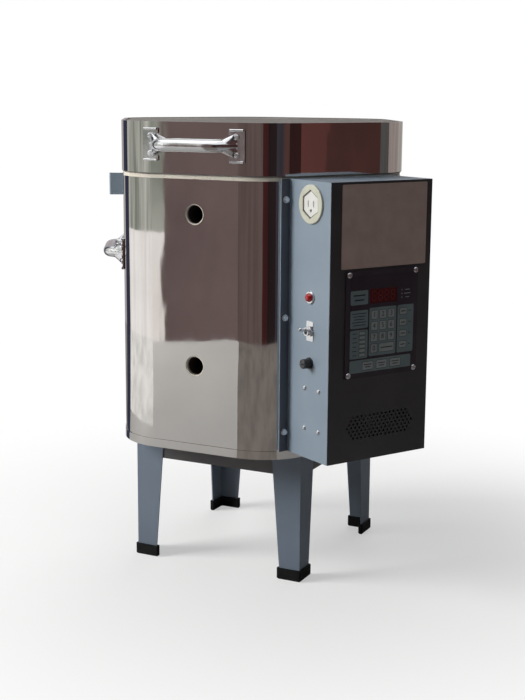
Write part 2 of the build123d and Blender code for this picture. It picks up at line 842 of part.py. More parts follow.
def make_box():
    """Back plate and the cover's five panels, two of them flanged, with the cover's screws."""
    half = box_width / 2
    wide = half + box_flange
    back = block(-wide, wide, box_bottom, box_top, back_plate_gap, back_plate_gap + box_sheet)
    back_tools = [hole(x, z, screw_hole) for x, z in cover_screw_points()]
    back_tools += [hole(u, z, bushing_diameter + loose_fit) for u, z in tail_points()]
    back_tools.append(hole(probe_u, probe_z, probe_diameter + loose_fit))
    back = back - back_tools

    t = box_sheet
    cover = block(-half, half, box_bottom, box_top, cover_back, box_depth)
    cover = fillet(cover.edges().filter_by(Axis.Y).group_by(Axis.Z)[-1], cover_bend)
    cover -= block(-half + t, half - t, box_bottom + t, box_top - t, cover_back - over, box_depth - t)
    for s in (-1, 1):
        x0, x1 = sorted((s * (half - t), s * wide))
        cover += block(x0, x1, box_bottom, box_top, cover_back, cover_back + t)
    tools = [hole(x, z, screw_hole) for x, z in cover_screw_points()]
    x0, x1, z0, z1 = controller_frame()
    i = controller_cutout_inset
    tools.append(block(x0 + i, x1 - i, z0 + i, z1 - i, box_depth - t - over, box_depth + over))
    screw_points = controller_screw_points()
    tools += [hole(x, z, screw_hole, box_depth) for x, z in screw_points]
    slot_mid = cover_back + (box_depth - cover_back) / 2
    for k in range(vent_slot_count):
        x = (k - (vent_slot_count - 1) / 2) * vent_slot_pitch
        for z in (box_bottom, box_top):
            tools.append(block(x - vent_slot_width / 2, x + vent_slot_width / 2, z - 2 * t, z + 2 * t,
                               slot_mid - vent_slot_length / 2, slot_mid + vent_slot_length / 2))
    cover = cover - tools
    holes = []
    for row in range(vent_rows):
        step = row - (vent_rows - 1) / 2
        count = vent_columns - abs(int(step))
        for k in range(count):
            x = vent_u + (k - (count - 1) / 2) * vent_pitch_u
            z = box_top - vent_share * box_height + step * vent_pitch_z
            holes.append(hole(x, z, vent_hole, box_depth))
    cover = cover - holes
    cover = on_facet(box_angle, cover)
    spots = panel_item_spots()
    side_tools = [
        on_side(-1, hole(*spots["outlet"], outlet_body_diameter + loose_fit)),
        on_side(-1, hole(*spots["pilot"], pilot_diameter + loose_fit)),
        on_side(-1, hole(*spots["toggle"], toggle_bushing_diameter + loose_fit)),
        on_side(-1, hole(*spots["fuse"], fuse_cap_diameter + loose_fit)),
        on_side(1, hole(*side_spot(1, gland_out, gland_share * box_height), gland_thread + loose_fit)),
    ]
    side_tools += [on_side(-1, hole(x, y, rivet_hole)) for x, y in rivet_spots()]
    cover = cover - side_tools
    low, high, split = box_bottom - over, box_top + over, box_depth - t
    panels = [
        block(-wide - over, wide + over, low, high, split, box_depth + over),
        block(-wide - over, t - half, low, high, 0, split),
        block(half - t, wide + over, low, high, 0, split),
        block(t - half, half - t, box_top - t, high, 0, split),
        block(t - half, half - t, low, box_bottom + t, 0, split),
    ]
    screws = [on_facet(box_angle, hex_screw(x, z, cover_back + t)) for x, z in cover_screw_points()]
    return {
        "box_back_plate": on_facet(box_angle, back),
        "box_cover": group([cover & on_facet(box_angle, panel) for panel in panels]),
        "cover_screws": group(screws),
    }


def make_front_items():
    """Bare plate, controller plate, keypad film, display window, circuit board and their screws."""
    w, h, t = label_size
    top = box_top - label_drop
    label = block(label_u - w / 2, label_u + w / 2, top - h, top, box_depth, box_depth + t)
    label = fillet(label.edges().filter_by(Axis.Z), plate_corner)
    x0, x1, z0, z1 = controller_frame()
    face = box_depth + controller_size[2]
    plate = block(x0, x1, z0, z1, box_depth, face)
    plate = fillet(plate.edges().filter_by(Axis.Z), plate_corner)
    dx0 = x0 + display_from_left
    dz1 = z1 - display_from_top
    dx1 = dx0 + display_size[0]
    dz0 = dz1 - display_size[1]
    plate -= block(dx0, dx1, dz0, dz1, box_depth - over, face + over)
    screw_points = controller_screw_points()
    plate = plate - [hole(x, z, screw_hole, box_depth) for x, z in screw_points]
    ix, iz = overlay_inset
    film = block(x0 + ix, x1 - ix, z0 + iz, z1 - iz, face, face + overlay_sheet)
    film = fillet(film.edges().filter_by(Axis.Z), film_corner)
    film -= block(dx0, dx1, dz0, dz1, face - over, face + over)
    gap = window_gap
    window = block(dx0 + gap, dx1 - gap, dz0 + gap, dz1 - gap, box_depth, face)
    bw, bh, bt = board_size
    bz = (z0 + z1) / 2
    front = box_depth - board_depth
    back = front - bt
    u = controller_u
    board = block(u - bw / 2, u + bw / 2, bz - bh / 2, bz + bh / 2, back, front)
    ix, iz = figure_block_inset
    board += block(dx0 + ix, dx1 - ix, dz0 + iz, dz1 - iz, front - weld, front + figure_block_height)
    cw, ch, cd = chip
    cx, cz = u + chip_spot[0], bz + chip_spot[1]
    board += block(cx - cw, cx, cz - ch, cz, back - cd, back + weld)
    vw, vh, vd = converter
    vx, vz = u + converter_spot[0], bz + converter_spot[1]
    board += block(vx, vx + vw, vz - vh, vz, back - vd, back + weld)
    board += [
        rod(u + x, bz + capacitor_rise, back - capacitor_height, back + weld, capacitor_diameter)
        for x in capacitor_spots
    ]
    screws = [pan_screw(x, z, face, controller_screw_length) for x, z in screw_points]
    made = {
        "label_plate": label,
        "controller_plate": plate,
        "keypad_film": film,
        "display_window": window,
        "circuit_board": board,
    }
    made = {name: on_facet(box_angle, shape) for name, shape in made.items()}
    made["controller_screws"] = group([on_facet(box_angle, s) for s in screws])
    return made


def rounded_top(shape, radius):
    return fillet(shape.faces().sort_by(Axis.Z)[-1].edges(), radius)


def make_outlet():
    """Round receptacle body with a hexagonal well, and the slotted insert in it."""
    x, y = panel_item_spots()["outlet"]
    body = rounded_top(rod(x, y, 0, outlet_flange_height, outlet_flange_diameter), outlet_flange_height / 2)
    body += rod(x, y, -outlet_body_depth, weld, outlet_body_diameter)
    floor = outlet_floor - outlet_body_depth
    well = RegularPolygon(outlet_hex / 2, 6, major_radius=False, rotation=30)
    body -= Pos(x, y, floor) * extrude(well, outlet_body_depth + outlet_flange_height)
    plug = RegularPolygon(outlet_hex / 2 - outlet_hex_gap, 6, major_radius=False, rotation=30)
    insert = Pos(x, y, floor) * extrude(plug, outlet_insert_proud - floor)
    slot_w, slot_h = blade_slot
    for s in (-1, 1):
        blade_x = x + s * blade_half_spacing
        z0 = y + blade_rise - slot_h / 2
        insert -= block(blade_x - slot_w / 2, blade_x + slot_w / 2, z0, z0 + slot_h, -drill_reach, drill_reach)
    insert -= hole(x, y - earth_drop, earth_hole)
    return {"outlet_body": body, "outlet_insert": insert}


def make_pilot():
    x, y = panel_item_spots()["pilot"]
    bezel = rod(x, y, 0, pilot_bezel_height, pilot_bezel_diameter)
    bezel = chamfer(bezel.faces().sort_by(Axis.Z)[-1].edges(), pilot_bezel_bevel)
    bezel += rod(x, y, -pilot_depth, weld, pilot_diameter)
    bezel -= rod(x, y, -lens_seat, drill_reach, lens_diameter + 2 * lens_fit)
    lens = rounded_top(rod(x, y, -lens_seat, lens_dome, lens_diameter), lens_crown)
    return {"pilot_bezel": bezel, "pilot_lens": lens}


def make_toggle():
    """Toggle switch: its plate, nut, body and the lever on a trunnion."""
    x, y = panel_item_spots()["toggle"]
    pw, ph, pt = toggle_plate_size
    plate = block(x - pw / 2, x + pw / 2, y - ph / 2, y + ph / 2, 0, pt)
    plate = fillet(plate.edges().filter_by(Axis.Z), plate_corner)
    plate -= hole(x, y, toggle_bushing_diameter + loose_fit)
    nut_face = RegularPolygon(toggle_nut_flats / 2, 6, major_radius=False)
    nut = Pos(x, y, pt) * extrude(nut_face, toggle_nut_height)
    nut -= hole(x, y, toggle_bushing_diameter + toggle_thread_fit)
    bw, bh, bd = toggle_body
    back = -box_sheet - 0.2
    switch = rod(x, y, back - 2, toggle_bushing_height, toggle_bushing_diameter)
    switch += block(x - bw / 2, x + bw / 2, y - bh / 2, y + bh / 2, -box_sheet - bd, back)
    pivot = -toggle_pivot_depth
    mouth_depth = toggle_bushing_height - pivot + 1
    mouth = Pos(x, y, (toggle_bushing_height + pivot) / 2 + 0.5) * Cone(
        toggle_mouth / 2 - 1.2, toggle_mouth / 2, mouth_depth
    )
    socket = rod(x, y, pivot - toggle_ball, pivot + 1, toggle_socket)
    trunnion = Pos(x, y, pivot) * (Rot(0, 90, 0) * Cylinder(trunnion_diameter / 2, trunnion_length))
    trunnion_bore = Pos(x, y, pivot) * (Rot(0, 90, 0) * Cylinder(trunnion_hole / 2, trunnion_length + 0.6))
    switch = switch - [mouth, socket, trunnion_bore]
    stem = Pos(0, 0, toggle_lever_length / 2) * Cone(toggle_neck / 2, toggle_ball / 2, toggle_lever_length)
    tip = Pos(0, 0, toggle_lever_length - 0.3) * Sphere(toggle_ball / 2 + 0.05)
    lever = Sphere(toggle_ball / 2) + stem + tip
    lever = Pos(x, y, pivot) * (Rot(-toggle_tilt, 0, 0) * lever) + trunnion
    return {"toggle_plate": plate, "toggle_nut": nut, "toggle_switch": switch, "toggle_lever": lever}


def make_fuse():
    """Panel fuse holder, its fluted cap and the glass fuse that the cap carries."""
    x, y = panel_item_spots()["fuse"]
    holder = rod(x, y, 0, fuse_flange_height, fuse_flange_diameter)
    holder += rod(x, y, -fuse_holder_depth, weld, fuse_barrel_diameter)
    holder -= rod(x, y, fuse_holder_floor - fuse_holder_depth, drill_reach, fuse_holder_bore)
    cap_top = fuse_cap_seat + fuse_cap_height
    cap = rounded_top(rod(x, y, fuse_cap_seat, cap_top, fuse_cap_diameter), fuse_cap_crown)
    slot_w, slot_depth = fuse_cap_slot
    reach = fuse_cap_diameter / 2 + over
    cap -= block(x - reach, x + reach, y - slot_w / 2, y + slot_w / 2, cap_top - slot_depth, cap_top + over)
    ring_r = fuse_cap_diameter / 2 + flute_diameter / 4
    angles = [2 * pi * k / flutes for k in range(flutes)]
    flute_low, flute_high = fuse_cap_seat + flute_ends[0], cap_top - flute_ends[1]
    cap = cap - [
        rod(x + cos(a) * ring_r, y + sin(a) * ring_r, flute_low, flute_high, flute_diameter) for a in angles
    ]
    cap += rod(x, y, -fuse_cap_neck_depth, fuse_cap_seat + weld, fuse_cap_neck)
    cap -= rod(x, y, -fuse_cap_neck_depth - over, fuse_top + fuse_fit, fuse_diameter + 2 * fuse_fit)
    link = rod(x, y, fuse_top - fuse_length, fuse_top, fuse_diameter)
    return {"fuse_holder": holder, "fuse_cap": cap, "fuse_link": link}


def make_rivets_and_gland():
    head_d, head_h = rivet_head
    rivets = []
    for x, y in rivet_spots():
        head = rounded_top(rod(x, y, 0, head_h, head_d), rivet_crown)
        rivets.append(on_side(-1, head + rod(x, y, -rivet_grip, weld, rivet_shank)))
    x, y = side_spot(1, gland_out, gland_share * box_height)
    gland = rod(x, y, 0, gland_flange, gland_diameter)
    gland += rod(x, y, gland_flange - over, gland_height, gland_nose)
    gland = rounded_top(gland, gland_crown)
    gland += rod(x, y, -gland_inside, weld, gland_thread)
    gland -= rod(x, y, -gland_inside - over, gland_height + over, gland_bore)
    return {"panel_rivets": group(rivets), "cord_gland": on_side(1, gland)}


def make_side_items():
    """Receptacle, pilot light, toggle switch, fuse holder, rivets and the cord gland."""
    made = {}
    for pieces in (make_outlet(), make_pilot(), make_toggle(), make_fuse()):
        made.update({name: on_side(-1, shape) for name, shape in pieces.items()})
    made.update(make_rivets_and_gland())
    return made


def make_inside_items():
    """Relays behind the rivets, transformer and terminal block on the back plate."""
    inner = side_face - box_sheet - relay_wall_gap
    seat = back_plate_gap + box_sheet
    high, low = [box_top - share * box_height for share in rivet_shares]
    near, far = rivet_outs[0] - relay_edge, rivet_outs[1] + relay_edge
    tab_t, tab_h = relay_tab
    blade_l, blade_w, blade_t = relay_blade
    relays = []
    for s in (-1, 1):
        x0, x1 = sorted((s * inner, s * (inner - relay_width)))
        case = block(x0, x1, low + tab_h, high - tab_h, near, far)
        case = fillet(case.edges().filter_by(Axis.Y), relay_corner)
        tabs = block(*sorted((s * (inner - tab_t), s * inner)), low - tab_h, high + tab_h, near, far)
        root = inner - relay_width
        blade_x0, blade_x1 = sorted((s * (root - blade_l), s * (root + weld)))
        blades = [
            block(blade_x0, blade_x1, z - blade_w / 2, z + blade_w / 2, out - blade_t / 2, out + blade_t / 2)
            for z in (low + relay_blade_inset[0], high - relay_blade_inset[0])
            for out in (near + relay_blade_inset[1], far - relay_blade_inset[1])
        ]
        relays.append(case + tabs + blades)
    tz = box_bottom + transformer_rise
    tu = transformer_u
    cw, ch, cd = transformer_core
    core = block(tu - cw / 2, tu + cw / 2, tz - ch / 2, tz + ch / 2, seat, seat + cd)
    ww, wh, wd = transformer_winding
    lift = seat + winding_lift
    winding = block(tu - ww / 2, tu + ww / 2, tz - wh / 2, tz + wh / 2, lift, lift + wd)
    transformer = core + fillet(winding.edges().filter_by(Axis.Z), winding_corner)
    bz = terminal_z
    sw, sh, sd = terminal_strip
    strip = block(-sw / 2, sw / 2, bz - sh / 2, bz + sh / 2, seat, seat + sd)
    fin_spots = [k * terminal_pitch for k in (-2, -1, 0, 1, 2)]
    top = seat + sd
    fin = terminal_fin / 2
    fins = [block(x - fin, x + fin, bz - sh / 2, bz + sh / 2, top - over, top + sd) for x in fin_spots]
    stud_spots = [(k + 0.5) * terminal_pitch for k in (-2, -1, 0, 1)]
    stud_d, stud_h = stud
    studs = [rod(x, bz + s * sh / 4, top - over, top + stud_h, stud_d) for x in stud_spots for s in (-1, 1)]
    return {
        "relays": group([on_facet(box_angle, r) for r in relays]),
        "transformer": on_facet(box_angle, transformer),
        "terminal_block": on_facet(box_angle, strip + fins + studs),
    }


def make_kiln():
    parts = {}
    parts.update(make_stand())
    parts.update(make_body_shell())
    parts.update(make_brick_courses())
    parts.update(make_elements())
    parts.update(make_wall_fittings())
    parts.update(make_lid())
    parts.update(make_handles(make_handle()))
    parts.update(make_hinge())
    parts.update(make_side_bracket())
    parts.update(make_box())
    parts.update(make_front_items())
    parts.update(make_side_items())
    parts.update(make_inside_items())
    return parts


parts = make_kiln()

# The kiln is shifted so that the origin lies under the middle of its box, on the floor.
boxes = [shape.bounding_box() for shape in parts.values()]
centre_x = (min(b.min.X for b in boxes) + max(b.max.X for b in boxes)) / 2
centre_y = (min(b.min.Y for b in boxes) + max(b.max.Y for b in boxes)) / 2
os.makedirs("parts", exist_ok=True)
for name, shape in parts.items():
    export_step(Pos(-centre_x, -centre_y, 0) * shape, f"parts/{name}.step")
print("nodes", len(parts))
print("kiln axis at", round(-centre_x, 4), round(-centre_y, 4))
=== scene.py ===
import json
import math

import bmesh
import bpy
from mathutils import Matrix, Vector


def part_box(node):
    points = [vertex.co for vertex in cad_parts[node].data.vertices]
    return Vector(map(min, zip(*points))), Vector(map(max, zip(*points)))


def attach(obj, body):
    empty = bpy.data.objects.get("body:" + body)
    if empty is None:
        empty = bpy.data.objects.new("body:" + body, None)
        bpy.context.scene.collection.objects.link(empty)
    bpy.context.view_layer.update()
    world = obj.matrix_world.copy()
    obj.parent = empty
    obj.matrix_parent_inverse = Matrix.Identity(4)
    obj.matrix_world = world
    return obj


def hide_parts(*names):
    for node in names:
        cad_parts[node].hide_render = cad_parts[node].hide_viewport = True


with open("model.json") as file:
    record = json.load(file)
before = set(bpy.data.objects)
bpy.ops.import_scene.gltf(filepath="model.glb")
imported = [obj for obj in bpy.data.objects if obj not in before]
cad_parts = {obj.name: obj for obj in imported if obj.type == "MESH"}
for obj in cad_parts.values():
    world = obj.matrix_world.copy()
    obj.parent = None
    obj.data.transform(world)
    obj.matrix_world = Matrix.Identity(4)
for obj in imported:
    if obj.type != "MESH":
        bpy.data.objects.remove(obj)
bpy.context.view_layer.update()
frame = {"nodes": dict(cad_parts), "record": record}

# Where the kiln stands in the frame, and its own sizes that the details need, in metres. THREAD_WAVE is
# in radians per metre: one turn of thread per millimetre.
MM = 0.001
jacket_low, jacket_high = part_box("jacket")
AXIS_X = (jacket_low[0] + jacket_high[0]) / 2
AXIS_Y = (jacket_low[1] + jacket_high[1]) / 2
HALF_FLATS = (jacket_high[1] - jacket_low[1]) / 2
BOX_ANGLE = 60.0
BOX_DEPTH = 102 * MM
BOX_HALF_WIDTH = 92 * MM
COURSE = 114.3 * MM
BRICK_THICKNESS = 63.5 * MM
JACKET_SHEET = 1.0 * MM
PEEPHOLE_RADIUS = 14.2 * MM
THREAD_WAVE = 6283.0
PEEPHOLES = [(AXIS_X, 0.0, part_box("brick_course_3")[1][2] - COURSE * (0.5 + k)) for k in (0, 2)]

# Camera: read off the photo, from the kiln's axis on the floor.
CAMERA_OFFSET = (0.954, -1.931, 0.750)
CAMERA_TURN = 26.1
CAMERA_DIP = 11.04
CAMERA_ROLL = 0.4
FOCAL_PIXELS = 1326.0
PHOTO_HEIGHT = 700.0
SENSOR_HEIGHT = 24.0

# Soft lamps: place, size, watts and colour. They point at a spot on the kiln's axis.
LAMPS = (
    ("key_left", (-2.6, -1.9, 1.9), (1.6, 1.8), 122.0, (1.0, 0.99, 0.97)),
    ("top_soft", (-0.6, -0.2, 3.0), (2.4, 2.4), 9.0, (1.0, 1.0, 1.0)),
    ("fill_right", (2.4, -1.6, 1.4), (1.6, 1.6), 2.0, (1.0, 1.0, 1.0)),
    ("rear_soft", (-0.4, 2.6, 1.8), (2.0, 1.6), 24.0, (1.0, 1.0, 1.0)),
)
LAMP_AIM = 0.40
ROOM_LIGHT = 0.09

# The floor. Between two distances from the origin it goes from FADE_LEAST of pure white to all of it.
FLOOR_RADIUS = 9.0
FADE_START, FADE_END, FADE_LEAST = 0.25, 0.95, 0.45


def facet_matrix(angle, out=0.0):
    """Frame on a facet: x to the right seen from outside, y up from the floor, z outward."""
    turn = math.radians(angle)
    normal = Vector((math.sin(turn), -math.cos(turn), 0))
    across = Vector((math.cos(turn), math.sin(turn), 0))
    up = Vector((0, 0, 1))
    origin = Vector((AXIS_X, AXIS_Y, 0)) + normal * (HALF_FLATS + out)
    matrix = Matrix((across, up, normal)).transposed().to_4x4()
    matrix.translation = origin
    return matrix


# Materials


class Shades:
    """A material's node tree, with short makers for the nodes that the finishes share."""

    def __init__(self, name):
        self.material = bpy.data.materials.new(name)
        self.material.use_nodes = True
        self.tree = self.material.node_tree
        self.nodes = self.tree.nodes
        self.links = self.tree.links
        self.shader = self.nodes["Principled BSDF"]
        self.place = self.nodes.new("ShaderNodeTexCoord").outputs["Object"]

    def set(self, **values):
        for key, value in values.items():
            self.shader.inputs[key.replace("_", " ")].default_value = value
        return self

    def stretched(self, scale):
        mapping = self.nodes.new("ShaderNodeMapping")
        mapping.inputs["Scale"].default_value = scale
        self.links.new(self.place, mapping.inputs["Vector"])
        return mapping.outputs["Vector"]

    def noise(self, scale, detail=4.0, roughness=0.55, vector=None):
        node = self.nodes.new("ShaderNodeTexNoise")
        node.inputs["Scale"].default_value = scale
        node.inputs["Detail"].default_value = detail
        node.inputs["Roughness"].default_value = roughness
        self.links.new(vector or self.place, node.inputs["Vector"])
        return node.outputs["Fac"]

    def cells(self, scale, vector=None, feature="F1"):
        node = self.nodes.new("ShaderNodeTexVoronoi")
        node.feature = feature
        node.inputs["Scale"].default_value = scale
        self.links.new(vector or self.place, node.inputs["Vector"])
        return node.outputs["Distance"]

    def ramp(self, value, stops):
        node = self.nodes.new("ShaderNodeValToRGB")
        elements = node.color_ramp.elements
        while len(elements) < len(stops):
            elements.new(0.5)
        for element, (position, colour) in zip(elements, stops):
            element.position = position
            element.color = (*colour, 1.0)
        self.links.new(value, node.inputs["Fac"])
        return node.outputs["Color"]

    def grey(self, value, low, high, start=0.0, end=1.0):
        node = self.nodes.new("ShaderNodeMapRange")
        node.inputs["From Min"].default_value = start
        node.inputs["From Max"].default_value = end
        node.inputs["To Min"].default_value = low
        node.inputs["To Max"].default_value = high
        self.links.new(value, node.inputs["Value"])
        return node.outputs["Result"]

    def mix(self, factor, first, second):
        node = self.nodes.new("ShaderNodeMix")
        node.data_type = "RGBA"
        self.links.new(factor, node.inputs["Factor"])
        for socket, value in ((node.inputs["A"], first), (node.inputs["B"], second)):
            if isinstance(value, tuple):
                socket.default_value = (*value, 1.0)
            else:
                self.links.new(value, socket)
        return node.outputs["Result"]

    def math(self, operation, first, second):
        node = self.nodes.new("ShaderNodeMath")
        node.operation = operation
        for socket, value in ((node.inputs[0], first), (node.inputs[1], second)):
            if isinstance(value, float):
                socket.default_value = value
            else:
                self.links.new(value, socket)
        return node.outputs[0]

    def along(self, direction, origin):
        """Distance in metres from a point, along a direction."""
        shift = self.nodes.new("ShaderNodeVectorMath")
        shift.operation = "SUBTRACT"
        self.links.new(self.place, shift.inputs[0])
        shift.inputs[1].default_value = origin
        dot = self.nodes.new("ShaderNodeVectorMath")
        dot.operation = "DOT_PRODUCT"
        self.links.new(shift.outputs[0], dot.inputs[0])
        dot.inputs[1].default_value = direction
        return dot.outputs["Value"]

    def near_axis(self, origin, radius, soft):
        """One inside a cylinder along Y through a point, nought outside it."""
        flat = self.nodes.new("ShaderNodeVectorMath")
        flat.operation = "MULTIPLY"
        self.links.new(self.place, flat.inputs[0])
        flat.inputs[1].default_value = (1.0, 0.0, 1.0)
        reach = self.nodes.new("ShaderNodeVectorMath")
        reach.operation = "DISTANCE"
        self.links.new(flat.outputs[0], reach.inputs[0])
        reach.inputs[1].default_value = (origin[0], 0.0, origin[2])
        return self.grey(reach.outputs["Value"], 1.0, 0.0, radius, radius + soft)

    def colour(self, value):
        self.links.new(value, self.shader.inputs["Base Color"])
        return self

    def rough(self, value):
        self.links.new(value, self.shader.inputs["Roughness"])
        return self

    def bump(self, value, distance, strength=1.0):
        node = self.nodes.new("ShaderNodeBump")
        node.inputs["Distance"].default_value = distance
        node.inputs["Strength"].default_value = strength
        self.links.new(value, node.inputs["Height"])
        previous = self.shader.inputs["Normal"]
        if previous.is_linked:
            self.links.new(previous.links[0].from_socket, node.inputs["Normal"])
        self.links.new(node.outputs["Normal"], previous)
        return self


def mirror_steel():
    """Bright stainless sheet: long soft waves, smudges and faint upright rolling lines."""
    s = Shades("mirror_stainless").set(Metallic=1.0)
    smudge = s.noise(7.0, 5.0, 0.6)
    fine = s.noise(60.0, 4.0, 0.6, s.stretched((1.0, 1.0, 0.12)))
    s.colour(s.ramp(smudge, [(0.3, (0.72, 0.71, 0.70)), (0.7, (0.82, 0.81, 0.80))]))
    haze = s.math("ADD", s.math("MULTIPLY", smudge, 0.7), s.math("MULTIPLY", fine, 0.3))
    s.rough(s.grey(haze, 0.015, 0.085, 0.35, 0.75))
    s.bump(s.noise(5.5, 2.0, 0.4), 0.0016, 0.55)
    s.bump(s.noise(26.0, 2.0, 0.5, s.stretched((1.0, 1.0, 0.35))), 0.0003, 0.35)
    return s.material


def specked(s, base, speck, start, end):
    """Brick colour with iron specks in it."""
    return s.mix(s.grey(s.noise(330.0, 2.0, 0.5), 0.0, 1.0, start, end), base, speck)


def pitted(s):
    """Open pores and grain of an insulating brick."""
    s.bump(s.grey(s.cells(520.0), 0.0, 1.0, 0.0, 0.45), 0.0006, 0.7)
    s.bump(s.noise(190.0, 4.0, 0.6), 0.0005, 0.6)
    return s.material


def firebrick():
    """Cream insulating brick: open pores, iron specks and painted shade inside the peepholes."""
    s = Shades("insulating_firebrick").set(Roughness=0.95, Specular_IOR_Level=0.2)
    cloud = s.noise(14.0, 5.0, 0.6)
    base = s.ramp(cloud, [(0.3, (0.70, 0.65, 0.55)), (0.7, (0.82, 0.78, 0.70))])
    brick = specked(s, base, (0.30, 0.20, 0.12), 0.69, 0.73)
    # Painted shade: inside the peepholes the walls darken to near black from 1 mm to 8 mm in from the outer
    # face.
    holes = s.math("MAXIMUM", *[s.near_axis(spot, PEEPHOLE_RADIUS, 3 * MM) for spot in PEEPHOLES])
    depth = s.along((0.0, 1.0, 0.0), (AXIS_X, AXIS_Y - HALF_FLATS, 0.0))
    peephole_shade = s.math("MULTIPLY", holes, s.grey(depth, 0.0, 1.0, 1 * MM, 8 * MM))
    s.colour(s.mix(peephole_shade, brick, (0.035, 0.028, 0.024)))
    return pitted(s)


def coated_brick():
    """Lid brick under a thin grey wash, dusty and a little stained."""
    s = Shades("coated_lid_brick").set(Roughness=0.95, Specular_IOR_Level=0.2)
    stain = s.noise(6.0, 6.0, 0.65)
    base = s.ramp(stain, [(0.32, (0.215, 0.200, 0.190)), (0.7, (0.315, 0.298, 0.280))])
    s.colour(specked(s, base, (0.12, 0.095, 0.075), 0.68, 0.72))
    return pitted(s)


BLUE_GREY = ((0.215, 0.275, 0.340), (0.250, 0.318, 0.388))
# The slate and charcoal rows are painted shade for the control box: slate is the blue-grey of its side
# flanges as if in shadow, and charcoal is its face's darker paint deepened with painted shade.
SLATE_SHADE = ((0.068, 0.079, 0.106), (0.086, 0.098, 0.130))
CHARCOAL_AND_SHADE = ((0.034, 0.033, 0.036), (0.052, 0.050, 0.055))
# The legs' tones are the blue-grey darkened to about three quarters: painted shade.
LEG_SHADE_TONES = ((0.158, 0.200, 0.258), (0.186, 0.234, 0.300))
IRON_GREY = ((0.090, 0.090, 0.092), (0.120, 0.120, 0.123))


def enamel(name, tones=BLUE_GREY, control_box=False):
    """Satin enamel, fine orange-peel; on the control box, painted shade gives slate flanges and deepens its
    darker face paint to charcoal.
    """
    s = Shades(name).set(Coat_Weight=0.12, Coat_Roughness=0.3)
    cloud = s.noise(9.0, 4.0, 0.55)

    def coat(dark, light):
        return s.ramp(cloud, [(0.3, dark), (0.72, light)])

    paint = coat(*tones)
    if control_box:
        turn = math.radians(BOX_ANGLE)
        out = s.along((math.sin(turn), -math.cos(turn), 0.0), (AXIS_X, AXIS_Y, 0.0))
        across = s.along((math.cos(turn), math.sin(turn), 0.0), (AXIS_X, AXIS_Y, 0.0))
        face = HALF_FLATS + BOX_DEPTH
        aside = s.math("ABSOLUTE", across, 0.0)
        # Painted shade: the side flanges take the slate tones, and the face takes charcoal, its darker paint
        # deepened by painted shade.
        flange_shade_mask = s.grey(aside, 0.0, 1.0, BOX_HALF_WIDTH + 0.4 * MM, BOX_HALF_WIDTH + 0.6 * MM)
        front_shade_mask = s.grey(out, 0.0, 1.0, face - 1.1 * MM, face - 0.9 * MM)
        paint = s.mix(flange_shade_mask, paint, coat(*SLATE_SHADE))
        paint = s.mix(front_shade_mask, paint, coat(*CHARCOAL_AND_SHADE))
    s.colour(paint)
    s.rough(s.grey(s.noise(24.0, 4.0, 0.6), 0.34, 0.5, 0.3, 0.7))
    s.bump(s.noise(620.0, 2.0, 0.5), 0.00012, 0.5)
    return s.material


def bright_zinc(name, tint, low, high):
    """Bright plated steel with fine drawing lines and slight dulling."""
    s = Shades(name).set(Metallic=1.0)
    cloud = s.noise(42.0, 4.0, 0.6)
    s.colour(s.ramp(cloud, [(0.3, tuple(0.88 * c for c in tint)), (0.7, tint)]))
    s.rough(s.grey(cloud, low, high, 0.3, 0.7))
    s.bump(s.noise(480.0, 3.0, 0.6, s.stretched((0.3, 0.3, 1.0))), 0.00006, 0.5)
    return s.material


def black_rubber():
    """Black rubber of the feet, a little dusty."""
    s = Shades("black_rubber").set(Specular_IOR_Level=0.15)
    dust = s.noise(60.0, 5.0, 0.65)
    s.colour(s.ramp(dust, [(0.35, (0.006, 0.006, 0.007)), (0.75, (0.020, 0.019, 0.019))]))
    s.rough(s.grey(dust, 0.55, 0.85, 0.3, 0.7))
    s.bump(s.noise(700.0, 3.0, 0.6), 0.0001, 0.6)
    return s.material


def moulded(name, dark, light, low, high, grain=900.0, coat=0.0):
    """Moulded plastic: a fine grain, slight tone drift and a roughness that varies a little."""
    s = Shades(name).set(Coat_Weight=coat, Coat_Roughness=0.15)
    cloud = s.noise(35.0, 4.0, 0.6)
    s.colour(s.ramp(cloud, [(0.3, dark), (0.7, light)]))
    s.rough(s.grey(cloud, low, high, 0.3, 0.7))
    s.bump(s.noise(grain, 2.0, 0.5), 0.00005, 0.5)
    return s.material


def oxidised_wire():
    """Element wire after many firings: dull grey with paler scale."""
    s = Shades("oxidised_wire").set(Metallic=0.85)
    cloud = s.noise(120.0, 4.0, 0.6)
    s.colour(s.ramp(cloud, [(0.3, (0.16, 0.14, 0.13)), (0.7, (0.34, 0.31, 0.29))]))
    s.rough(s.grey(cloud, 0.45, 0.7, 0.3, 0.7))
    return s.material


def white_ceramic():
    """Unglazed white ceramic."""
    s = Shades("white_ceramic").set(Specular_IOR_Level=0.4)
    cloud = s.noise(80.0, 4.0, 0.6)
    s.colour(s.ramp(cloud, [(0.3, (0.72, 0.70, 0.64)), (0.7, (0.84, 0.83, 0.79))]))
    s.rough(s.grey(cloud, 0.5, 0.75, 0.3, 0.7))
    s.bump(s.noise(900.0, 2.0, 0.5), 0.00008, 0.5)
    return s.material


def circuit_green():
    """Green solder mask over paler traces."""
    s = Shades("solder_mask_green").set(Specular_IOR_Level=0.6)
    lines = s.cells(260.0, feature="DISTANCE_TO_EDGE")
    traces = s.grey(lines, 1.0, 0.0, 0.02, 0.06)
    s.colour(s.mix(traces, (0.012, 0.10, 0.035), (0.05, 0.22, 0.08)))
    s.rough(s.grey(s.noise(90.0), 0.25, 0.45, 0.3, 0.7))
    return s.material


